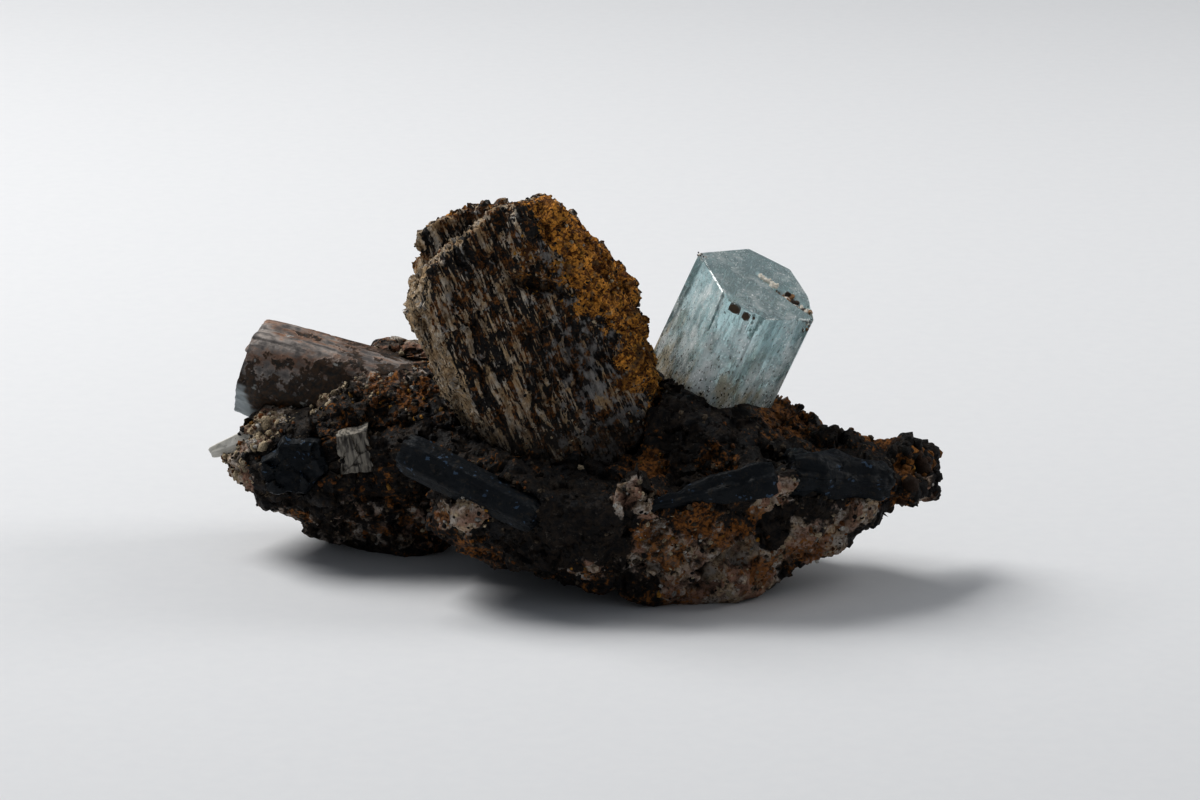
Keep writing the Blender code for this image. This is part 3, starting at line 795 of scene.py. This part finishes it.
rise -= 1.1 * np.clip(1 - np.linalg.norm((slab_at - notch) / (1.1, 6.0, 0.9), axis=1), 0, 1)
rise = rise * (1 - 0.4 * foot) + 0.38 * foot
slab_moved = slab_at + slab_out * rise[:, None]
slab_height = 33.6
slab_moved[:, 2] = np.minimum(slab_moved[:, 2], slab_height)
write_points(slab, slab_moved)
right_part = ramp(x + 0.15 * (z - 20) + 1.1 * drift(slab_at, 2.2, 220), -3.6, -0.6)
# Dark paint in the hollows: a painted shadow under the lump's undercut, painted shade in sunk places, and
# dark cracks between the laths.
share_on(
    slab, crust=crust, left_side=left_side, right_part=right_part, foot=foot,
    lath=0.55 * lath_mark[:, 3] + 0.45 * sliver_mark[:, 3],
    hollow=np.clip(
        undercut + np.clip(-rise - 0.25, 0, 1) * 1.5 + np.exp(-(lath_crack / 0.05) ** 2) * 0.6, 0, 1))

graphic = Finish("streaked slab")
crust_share, side_share, right_share, lath_tone = (
    graphic.share(name) for name in ("crust", "left_side", "right_part", "lath"))
streaks = graphic.grown(slab_axes, (0.45, 0.45, 3.4))
fine_streaks = graphic.grown(slab_axes, (0.18, 0.18, 1.2))
broad = graphic.noise(3.0, 3.0)
mottle = graphic.noise(0.9, 5.0)
spatter = graphic.noise(0.55, 5.0, graphic.warped(2.0, 3.0))
fine = graphic.noise(0.18, 4.0)
ragged_place = graphic.warped(0.5, 0.4)
crumb, crumb_tones = graphic.facet(0.36, ragged_place)
patch, patch_tones = graphic.facet(1.0, ragged_place)
black = graphic.mix(graphic.between(fine, 0.3, 0.75), (0.004, 0.004, 0.005), (0.030, 0.026, 0.023))
bone = graphic.mix(graphic.between(mottle, 0.35, 0.65), (0.56, 0.41, 0.24), (0.78, 0.72, 0.62))
bone = graphic.mix(
    graphic.between(fine_streaks, 0.30, 0.60), graphic.mix(0.8, bone, (0.11, 0.055, 0.02)), bone)
stripe_here = graphic.patches(
    -0.03, 0.11, (lath_tone, 0.50), (streaks, 1.3), (fine_streaks, 0.9), (broad, 0.7),
    (right_share, -0.10), (side_share, 0.16))
umber = graphic.mix(graphic.between(fine, 0.3, 0.7), (0.040, 0.015, 0.005), (0.30, 0.125, 0.030))
umber_here = graphic.patches(
    -0.06, 0.18, (spatter, 1.2), (broad, 1.0), (fine_streaks, 0.7), (crumb_tones[0], 0.12))
slab_colour = graphic.mix(stripe_here, graphic.mix(umber_here, black, umber), bone)
slab_colour = graphic.cover(slab_colour, umber_here, 0.35, umber)
ash = graphic.mix(graphic.between(mottle, 0.3, 0.7), (0.07, 0.074, 0.082), (0.34, 0.34, 0.34))
ash_here = graphic.patches(
    0.10, 0.26, (mottle, 1.4), (patch_tones[0], 0.12), (right_share, 0.20), (fine_streaks, 0.6),
    (crust_share, -0.1))
slab_colour = graphic.cover(slab_colour, ash_here, 0.85, ash)
iron = graphic.mix(
    graphic.patches(-0.3, 0.38, (fine, 1.2), (crumb_tones[1], 0.5)), (0.10, 0.032, 0.006),
    (1.0, 0.47, 0.085))
iron = graphic.mix(
    graphic.patches(0.10, 0.36, (spatter, 1.6), (crumb_tones[2], 0.15)), iron, (0.020, 0.014, 0.012))
iron = graphic.mix(
    graphic.patches(0.10, 0.42, (mottle, 1.3), (patch_tones[2], 0.2), (broad, 0.6)), iron,
    (0.60, 0.46, 0.27))
iron = graphic.mix(
    graphic.patches(-0.05, 0.25, (broad, 1.6), (mottle, 0.6), most=0.75), iron, (0.075, 0.028, 0.010))
crust_here = graphic.patches(0.02, 0.30, (crust_share, 1.0), (fine, 0.5), (spatter, 1.5), (broad, 0.8))
slab_colour = graphic.mix(crust_here, slab_colour, iron)
# Tan patches, thickest on the left side face: partly the tan crust there, partly painted light on a face
# lit from the back left. The left side also gets more pale streaks above.
tan = graphic.mix(graphic.between(fine, 0.3, 0.7), (0.22, 0.12, 0.045), (0.55, 0.45, 0.30))
tan_crust_and_side_light = graphic.patches(0.20, 0.50, (side_share, 0.7), (spatter, 2.2), (fine, 0.8))
slab_colour = graphic.cover(slab_colour, tan_crust_and_side_light, 0.85, tan)
# Painted shade in the hollows and along the cracks.
slab_colour = graphic.cover(slab_colour, graphic.share("hollow"), 0.7, (0.006, 0.004, 0.003))
slab_colour = graphic.cover(
    slab_colour, graphic.share("foot"), 0.55,
    graphic.mix(spatter, (0.004, 0.004, 0.004), (0.05, 0.035, 0.022)))
slab_colour = graphic.mix(1.0, slab_colour, (0.88, 0.84, 0.80), "MULTIPLY")
graphic.wear(
    Base_Color=slab_colour,
    Roughness=graphic.sum((fine, 0.25), (crust_here, 0.12), (stripe_here, 0.1), plus=0.5),
    Specular_IOR_Level=0.18,
)
graphic.relief(graphic.sum((fine_streaks, 0.16), (fine, 0.12), (crumb, 0.22), (patch, 0.20)), 0.8, 1.0)
fit(slab, graphic, "standing_feldspar_slab", 38)


# The matrix. Coarse feldspar and quartz grains shot through with black tourmaline and stained with iron,
# broken off as one mass. It holds every crystal in a seat of its own, and rests on a worn flat sole.
def from_seats(points):
    """How far each point is from the nearest crystal's prism, in millimetres, and the way straight out of
    it: the distance is the largest of those to its side planes and its two ends."""
    nearest = np.full(len(points), 99.0)
    way = np.zeros_like(points)
    for corners, length, start, axes in seats:
        local = (points - start) @ axes.T
        edge = np.roll(corners, -1, 0) - corners
        normal = np.stack((edge[:, 1], -edge[:, 0]), -1) / np.linalg.norm(edge, axis=1)[:, None]
        sides = ((local[:, None, :2] - corners[None]) * normal[None]).sum(-1)
        every = np.concatenate((sides, -local[:, 2:], local[:, 2:] - length), 1)
        ways = np.vstack((np.pad(normal, ((0, 0), (0, 1))), ((0, 0, -1), (0, 0, 1))))
        off = every.max(1)
        closer = off < nearest
        nearest = np.where(closer, off, nearest)
        way[closer] = (ways[every.argmax(1)] @ axes)[closer]
    return nearest, way


pale_spots = (
    (-9.4, -11.1, 8.4, 2.6, 1.0), (-11.5, -7.6, 7.8, 1.8, 1.0), (-7.6, -10.6, 9.0, 1.6, 0.9),
    (4.2, -12.4, 11.1, 2.1, 0.85), (5.6, -11.6, 9.6, 1.5, 0.85), (10.2, -9.2, 4.3, 5.4, 0.62),
    (6.0, -10.6, 5.6, 4.0, 0.6), (13.6, -8.1, 3.1, 5.2, 0.80), (16.9, -9.3, 10.0, 1.9, 1.0),
    (15.4, -9.6, 9.0, 1.4, 0.95), (9.0, -8.6, 2.2, 4.0, 0.7), (22.1, -5.8, 6.8, 3.0, 0.85),
    (24.6, -5.1, 7.9, 2.4, 0.95), (20.9, -4.7, 4.0, 2.8, 1.0), (19.0, -7.0, 7.0, 2.4, 0.75),
    (17.8, -7.0, 4.4, 2.6, 0.95), (29.0, -0.6, 8.0, 2.2, 0.7), (-29.8, 6.6, 7.6, 3.0, 0.85),
    (-27.6, 7.0, 11.4, 2.8, 1.15), (-22.0, 7.7, 13.6, 1.8, 1.0), (-24.2, 5.9, 3.8, 3.4, 0.45),
    (-18.9, 4.7, 3.7, 4.6, 0.45), (-14.6, 4.8, 3.2, 3.6, 0.45), (-1.5, -10.4, 4.7, 2.4, 0.45),
    (1.0, -10.4, 3.8, 2.6, 0.5), (-4.8, -9.8, 5.8, 2.0, 0.45), (0.6, -6.5, 11.8, 2.4, 0.45),
)
rust_spots = (
    (6.1, -6.5, 11.8, 2.4, 0.9), (11.9, -7.6, 12.4, 3.0, 0.75), (18.0, 0.8, 13.7, 4.2, 0.75),
    (23.3, 2.9, 11.8, 4.0, 0.85), (25.9, 2.5, 11.0, 2.6, 0.85), (27.9, -0.7, 10.1, 1.6, 1.1),
    (-14.1, 5.7, 14.6, 2.6, 0.7), (-17.2, 7.3, 15.1, 3.0, 0.5), (-24.0, 5.9, 3.8, 1.8, 0.7),
    (-11.4, -7.8, 7.4, 1.1, 1.2), (7.6, -10.2, 5.4, 2.4, 0.85), (12.6, -8.9, 6.6, 2.4, 0.85),
    (5.4, -10.7, 7.2, 1.8, 0.7), (15.6, -8.2, 2.8, 2.2, 0.75), (10.0, -10.3, 8.0, 2.8, 0.8),
    (22.8, -5.7, 8.6, 1.6, 0.8), (26.0, -4.0, 8.4, 1.7, 0.9), (15.0, -9.6, 8.4, 1.4, 0.9),
    (27.6, -2.0, 8.2, 2.0, 0.8),
)
black_spots = (
    (-3.0, -10.6, 9.0, 6.2, 1.0), (2.6, -10.6, 7.0, 2.6, 0.8), (16.5, -8.3, 7.1, 1.7, 1.0),
    (16.1, -8.2, 5.9, 1.3, 1.0), (13.0, -8.0, 11.4, 4.2, 0.6), (21.0, -6.6, 10.2, 4.6, 0.8),
    (9.0, -4.0, 14.0, 4.0, 0.7), (-12.0, 1.0, 9.0, 4.2, 0.8), (28.8, 1.0, 11.2, 2.2, 0.7),
    (-23.0, 4.0, 6.4, 3.0, 0.7), (0.0, -7.5, 10.6, 4.2, 0.6),
)
rock = grown_skin("matrix_rock", "matrix", 0.2)
rock_at = read_points(rock)
rock_out = read_points(rock, "normals")
big = facets(rock_at * (1, 1, 1.35), 4.6, 301)[0]
grain, grain_crack, grain_mark = facets(shaken(rock_at, 1.4, 0.35, 302), 1.9, 303)
small, _, small_mark = facets(shaken(rock_at, 0.7, 0.12, 320), 0.85, 304)
layer = rock_at[:, 2] * 1.05 + rock_at[:, 0] * 0.20 + 0.6 * drift(rock_at, 3.4, 305)
ledges = np.where(layer % 1.7 < 1.25, (layer % 1.7) / 1.25, 0.0)
tongue = ramp(rock_at[:, 0], 6, 12) * ramp(rock_at[:, 2], 7.5, 9.5)
tip = ramp(rock_at[:, 0], 23.5, 26.0) * ramp(rock_at[:, 2], 7.0, 8.5)
pale_share = np.clip(spots(rock_at, pale_spots), 0, 1)
black_share = spots(rock_at, black_spots)
rust_share = spots(rock_at, rust_spots)
behind = ramp(rock_at[:, 1], 3, 9)
pale_share = np.maximum(pale_share, behind * (0.40 + 0.25 * drift(rock_at, 5, 306)))
rust_share = np.maximum(
    rust_share, 0.34 + 0.30 * drift(rock_at, 4.2, 307) - 0.14 * ramp(-rock_at[:, 0], 12, 20))
rough = 0.42 * big + 0.50 * grain + 0.20 * small - 0.12 * np.exp(-(grain_crack / 0.14) ** 2)
smoother = 0.42 * big + 0.22 * grain + 0.10 * small
rock_rise = rough + (smoother - rough) * np.clip(black_share - pale_share, 0, 1) * 0.7
rock_rise += tongue * (1 - tip) * 0.60 * (ledges - 0.5)
rock_rise += tip * (0.9 * knobs(rock_at, 1.9, 330) + 0.35 * knobs(rock_at, 0.8, 331) - 0.5 * rough)
off_seat, seat_way = from_seats(rock_at)
facing_seat = ramp(-(rock_out * seat_way).sum(1), 0.0, 0.45) * (1 - ramp(off_seat, 0.6, 1.3))
rock_rise *= 1 - facing_seat
near_seat = (1 - ramp(off_seat, 0.3, 1.5)) * (off_seat > -0.2) * (1 - facing_seat)
creep = near_seat * np.clip(0.45 + 0.9 * drift(rock_at, 1.1, 340), 0, 1.2)
rock_rise += 0.40 * creep
rock_rise *= ramp(rock_at[:, 2], 0.05, 1.6)
moved = rock_at + rock_out * rock_rise[:, None]
close_up = 0.40 * (1 - ramp(off_seat, 0.38, 1.1)) * (off_seat > -0.2) + 0.55 * creep
moved -= seat_way * close_up[:, None]
moved[:, 2] = np.maximum(moved[:, 2], 0.0)
right_end = 31.6
moved[:, 0] = np.minimum(moved[:, 0], right_end)
write_points(rock, moved)
pale_now = np.clip(pale_share - 0.35 * black_share, 0, 1)
# Dark paint where the surface sinks, in the cracks between grains too: painted shade.
share_on(
    rock, pale=pale_now, rust=rust_share, black=black_share, grain=grain_mark[:, 3],
    small=small_mark[:, 3], hollow=np.clip(-rock_rise / 0.7 - 0.15, 0, 1))
rock_at, rock_out = moved, read_points(rock, "normals")
rock_triangles = 196000
thinned(rock, rock_triangles)

stone = Finish("weathered matrix")
pale_in, rust_in, black_in, grain_tone, small_tone = (
    stone.share(name) for name in ("pale", "rust", "black", "grain", "small"))
ragged = stone.noise(0.26, 5.0)
mottle = stone.noise(1.0, 5.0)
spatter = stone.noise(0.6, 5.0, stone.warped(2.2, 3.4))
cloud = stone.noise(3.0, 3.0)
dusting = stone.noise(0.12, 2.0)
ragged_at = stone.warped(0.6, 0.5)
chip, chip_tones = stone.facet(0.42, ragged_at)
bit, bit_tones = stone.facet(1.15, ragged_at)
ground = stone.mix(stone.between(spatter, 0.35, 0.7), (0.003, 0.003, 0.004), (0.034, 0.023, 0.015))
ground = stone.mix(
    stone.patches(0.22, 0.46, (dusting, 1.0), (chip_tones[0], 0.4), (mottle, 0.8)), ground,
    (0.11, 0.095, 0.078))
cream = stone.mix(stone.between(mottle, 0.38, 0.62), (0.52, 0.40, 0.265), (0.54, 0.50, 0.455))
cream = stone.mix(
    stone.patches(-0.1, 0.2, (cloud, 1.0), (bit_tones[1], 0.4)), cream, (0.36, 0.215, 0.155))
cream = stone.mix(
    stone.patches(0.05, 0.40, (ragged, 1.0), (spatter, 1.5), (chip_tones[1], 0.15)), cream,
    stone.mix(0.8, cream, (0.045, 0.028, 0.018)))
cream = stone.mix(
    stone.patches(-0.12, 0.34, (ragged, 1.3), (dusting, 0.8), (chip_tones[0], 0.3), most=0.75), cream,
    (0.13, 0.085, 0.055))
pale_here = stone.patches(
    0.02, 0.32, (mottle, 1.5), (grain_tone, 0.24), (small_tone, 0.10), (ragged, 0.5),
    (chip_tones[2], 0.08), (pale_in, 1.1), (black_in, -0.3))
ground = stone.mix(
    stone.patches(0.0, 0.3, (cloud, 1.0), (mottle, 0.8), most=0.6), ground, (0.012, 0.016, 0.022))
rock_colour = stone.mix(pale_here, ground, cream)
rusty = stone.mix(
    stone.patches(-0.25, 0.3, (ragged, 1.2), (chip_tones[2], 0.3)), (0.045, 0.016, 0.005),
    (0.42, 0.17, 0.035))
rust_here = stone.patches(
    0.10, 0.34, (spatter, 1.3), (cloud, 0.8), (ragged, 0.5), (small_tone, 0.15), (rust_in, 0.9),
    (black_in, -0.3))
rock_colour = stone.cover(rock_colour, rust_here, 0.8, rusty)
# Painted shade in the hollows.
rock_colour = stone.cover(rock_colour, stone.share("hollow"), 0.7, (0.006, 0.004, 0.003))
rock_colour = stone.mix(1.0, rock_colour, (0.80, 0.77, 0.75), "MULTIPLY")
stone.wear(
    Base_Color=rock_colour,
    Roughness=stone.sum((ragged, 0.3), (pale_here, 0.15), (rust_here, 0.1), plus=0.45),
    Specular_IOR_Level=0.16,
)
stone.relief(stone.sum((ragged, 0.14), (dusting, 0.05), (chip, 0.26), (bit, 0.36)), 0.85, 1.0)
fit(rock, stone, "matrix_rock", 38)


# The stuck grains. Crumbs of feldspar, quartz, iron ochre and tourmaline, grown on or caught in the skin of
# rock and slab: thick on the wing's rim, the slab's rusty edge and round each crystal's foot, with cream
# lumps at the left tip and dark knobs at the right one.
def grains_on(name, points, outward, weights, count, sizes, tints, rng, sunk=0.25):
    """Blocky grains stuck on a skin: `count` of its points are drawn with these weights, each grain is sunk
    by a share of its size, and takes its tint from the rows of `tints` at that point, darker or lighter by
    chance."""
    picked = rng.choice(len(points), count, replace=False, p=weights / weights.sum())
    size = rng.uniform(*sizes, count) * rng.uniform(0.5, 1.0, count)
    places = points[picked] - outward[picked] * (size * sunk)[:, None]
    places[:, 2] = np.maximum(places[:, 2], size * 1.3)
    obj = grain_bed(name, places, size, rng, 0.7)
    tint = tints[picked] * rng.uniform(0.3, 0.95, (count, 1))
    colours = np.ones((count * len(knob), 4), np.float32)
    colours[:, :3] = np.repeat(np.clip(tint, 0, 1), len(knob), axis=0)
    kept = obj.data.attributes.new("tint", "FLOAT_COLOR", "POINT")
    kept.data.foreach_set("color", colours.ravel())
    return obj


def tints_for(chances, choices, rng):
    """A colour for each point, drawn from the choices by its own row of chances."""
    upto = np.cumsum(chances, 1) / chances.sum(1, keepdims=True)
    drawn = (rng.uniform(0, 1, (len(chances), 1)) > upto).sum(1)
    return np.array(choices)[np.minimum(drawn, len(choices) - 1)]


cream_grain, white_grain, rust_grain = (0.58, 0.47, 0.32), (0.64, 0.61, 0.56), (0.22, 0.08, 0.02)
ochre_grain, black_grain, dun_grain = (0.58, 0.29, 0.05), (0.010, 0.010, 0.011), (0.14, 0.105, 0.07)
rim_spots = (
    (-27.2, 7.2, 11.5, 3.2, 1.0), (-22.0, 7.7, 13.6, 3.0, 1.0), (-17.2, 7.3, 15.1, 3.4, 0.8),
    (-13.6, 5.0, 14.4, 2.6, 0.8), (-30.2, 7.2, 8.6, 2.6, 0.8),
)
rim = spots(rock_at, rim_spots)
cream_rim = spots(rock_at, ((-26.6, 7.0, 11.8, 2.6, 1.0), (-22.0, 7.7, 13.6, 1.8, 0.8)))
at_foot = (1 - ramp(off_seat, 0.35, 1.1)) * (off_seat > -0.1) * (1 - facing_seat)
grain_weight = 0.10 + 0.35 * pale_now ** 2 + 0.30 * np.clip(rust_share, 0, 1) ** 2
grain_weight += 1.3 * rim + 2.2 * at_foot
grain_weight *= ramp(rock_at[:, 2], 0.3, 1.2) * (1 - 0.8 * facing_seat) * (off_seat > -0.15)
chances = np.stack((
    0.9 * pale_now ** 2 + 1.8 * cream_rim + 0.2 * rim,
    0.8 * pale_now ** 2 + 0.4 * cream_rim,
    0.10 + 0.5 * rust_share ** 2 + 0.3 * rim,
    0.02 + 0.30 * rust_share ** 3,
    0.45 + black_share,
    0.45 + 0.2 * at_foot,
), -1)
choices = (cream_grain, white_grain, rust_grain, ochre_grain, black_grain, dun_grain)
rock_tints = tints_for(chances, choices, grain_rng)
rock_grains = grains_on(
    "matrix_grains", rock_at, rock_out, grain_weight, 4600, (0.08, 0.33), rock_tints, grain_rng)
facing_up = ramp(rock_out[:, 2] - 0.6 * rock_out[:, 1], -0.2, 0.4)
lump_weight = rim ** 2 * (rock_at[:, 0] < -20) * facing_up + 0.6 * pale_now ** 3 * (rock_at[:, 0] < -24)
lump_tints = np.broadcast_to(cream_grain, rock_at.shape)
rock_lumps = grains_on(
    "matrix_lumps", rock_at, rock_out, lump_weight, 90, (0.28, 0.62), lump_tints, grain_rng, 0.55)
tip_weight = tip * ramp(rock_at[:, 0], 26.0, 28.5)
ochre_band = np.exp(-((rock_at[:, 2] - 9.9) / 0.6) ** 2)
tip_chances = np.stack((0.8 - 0.6 * ochre_band, 0.2 + 0 * tip, 0.8 * ochre_band), -1)
tip_choices = (black_grain, (0.05, 0.022, 0.010), (0.40, 0.16, 0.03))
tip_tints = tints_for(tip_chances, tip_choices, grain_rng)
tip_knobs = grains_on(
    "tip_knobs", rock_at, rock_out, tip_weight, 190, (0.30, 0.80), tip_tints, grain_rng, 0.5)
slab_now = read_points(slab)
slab_way = read_points(slab, "normals")
slab_weight = crust + left_side * 0.5 + 0.04 + 0.6 * foot * front
slab_chances = np.stack((
    0.12 + 0.5 * left_side,
    0.05 + 0 * crust,
    0.5 * crust + 0.1,
    0.55 * crust,
    0.35 + 0 * crust,
    0.15 + 0.3 * left_side + 0.4 * foot,
), -1)
slab_tints = tints_for(slab_chances, choices, grain_rng)
slab_grains = grains_on(
    "slab_grains", slab_now, slab_way, slab_weight, 3600, (0.07, 0.24), slab_tints, grain_rng, 0.45)
crumbs_finish = Finish("stuck grains")
crumb_tint = crumbs_finish.colour("tint")
crumb_cloud = crumbs_finish.noise(0.14, 3.0)
crumb_dirty = crumbs_finish.between(crumb_cloud, 0.35, 0.75)
crumb_dark = crumbs_finish.mix(0.7, crumb_tint, (0.012, 0.008, 0.005))
crumbs_finish.wear(
    Base_Color=crumbs_finish.mix(crumb_dirty, crumb_tint, crumb_dark),
    Roughness=crumbs_finish.between(crumb_cloud, 0.3, 0.7, 0.5, 0.85),
    Specular_IOR_Level=0.16,
)
crumbs_finish.relief(crumb_cloud, 0.7, 0.12)
fit(rock_grains, crumbs_finish, sharp=20)
fit(rock_lumps, crumbs_finish, sharp=50)
fit(tip_knobs, crumbs_finish, sharp=60)
fit(slab_grains, crumbs_finish, sharp=20)


# The floor and the lamps. A plain pale sheet swept up behind, a soft lamp high at the back left, a weaker
# one at the back right, and faint light from all round.
floor_half_width = 1.4
floor_front = -1.0
flat_run = 1.65
bend = 0.35
wall_height = 1.2
flat_share = 0.55
bend_share = 0.2
wall_share = 0.25
sweep_u = np.linspace(-floor_half_width, floor_half_width, 41)
sweep_t = np.linspace(0, 1, 90)
arc = np.clip((sweep_t - flat_share) / bend_share, 0, 1) * np.pi / 2
up_the_wall = np.clip((sweep_t - (1 - wall_share)) / wall_share, 0, 1)
sweep_y = floor_front + np.clip(sweep_t / flat_share, 0, 1) * flat_run + np.sin(arc) * bend
sweep_z = (1 - np.cos(arc)) * bend + up_the_wall * wall_height
grid = np.stack(np.broadcast_arrays(sweep_u[None, :], sweep_y[:, None], sweep_z[:, None]), -1)
number = np.arange(grid.shape[0] * grid.shape[1]).reshape(grid.shape[:2])
sweep_faces = np.stack(
    (number[:-1, :-1], number[:-1, 1:], number[1:, 1:], number[1:, :-1]), -1).reshape(-1, 4)
floor_mesh = bpy.data.meshes.new("pale floor")
floor_mesh.from_pydata(grid.reshape(-1, 3).tolist(), [], sweep_faces.tolist())
floor_mesh.shade_smooth()
floor = linked("pale_floor", floor_mesh)
paper = Finish("pale paper")
paper.wear(
    Base_Color=paper.mix(paper.noise(1.5, 4.0), (0.69, 0.70, 0.72), (0.725, 0.732, 0.745)),
    Roughness=paper.between(paper.noise(8.0), 0.3, 0.7, 0.85, 0.95),
    Specular_IOR_Level=0.05,
)
floor_mesh.materials.append(paper.material)


def soft_lamp(name, place, aim, size, power, colour):
    """A square lamp at a place in metres, turned to shine at the aim."""
    data = bpy.data.lights.new(name, "AREA")
    data.size = size
    data.energy = power
    data.color = colour
    lamp = linked(name, data)
    lamp.location = place
    lamp.rotation_euler = (Vector(aim) - Vector(place)).to_track_quat("-Z", "Y").to_euler()


soft_lamp(
    "key lamp", place=(-0.27, 0.17, 0.42), aim=(0.0, 0.0, 0.012), size=0.28, power=2.75,
    colour=(1.0, 0.985, 0.96))
soft_lamp(
    "back lamp", place=(0.38, 0.10, 0.25), aim=(0.0, 0.0, 0.015), size=0.22, power=0.7,
    colour=(1.0, 0.98, 0.95))
world = bpy.data.worlds.new("soft studio")
world.use_nodes = True
all_round = world.node_tree.nodes["Background"].inputs
all_round["Color"].default_value = (0.86, 0.92, 1.0, 1.0)
all_round["Strength"].default_value = 0.24
bpy.context.scene.world = world


# The camera. A long lens 40 cm in front and 15 degrees above, looking straight at the middle of the object.
# The picture keeps plain colours, with its middle tones made a little deeper.
camera_data = bpy.data.cameras.new("camera")
camera_data.sensor_width = 36.0
camera_data.lens = 141.2
camera_data.clip_start = 0.01
camera = linked("camera", camera_data)
camera.location = (0.00187, -0.38637, 0.11923)
camera.rotation_euler = (np.radians(75.0), 0.0, 0.0)
bpy.context.scene.camera = camera
bpy.context.scene.view_settings.view_transform = "Standard"
bpy.context.scene.view_settings.gamma = 0.88
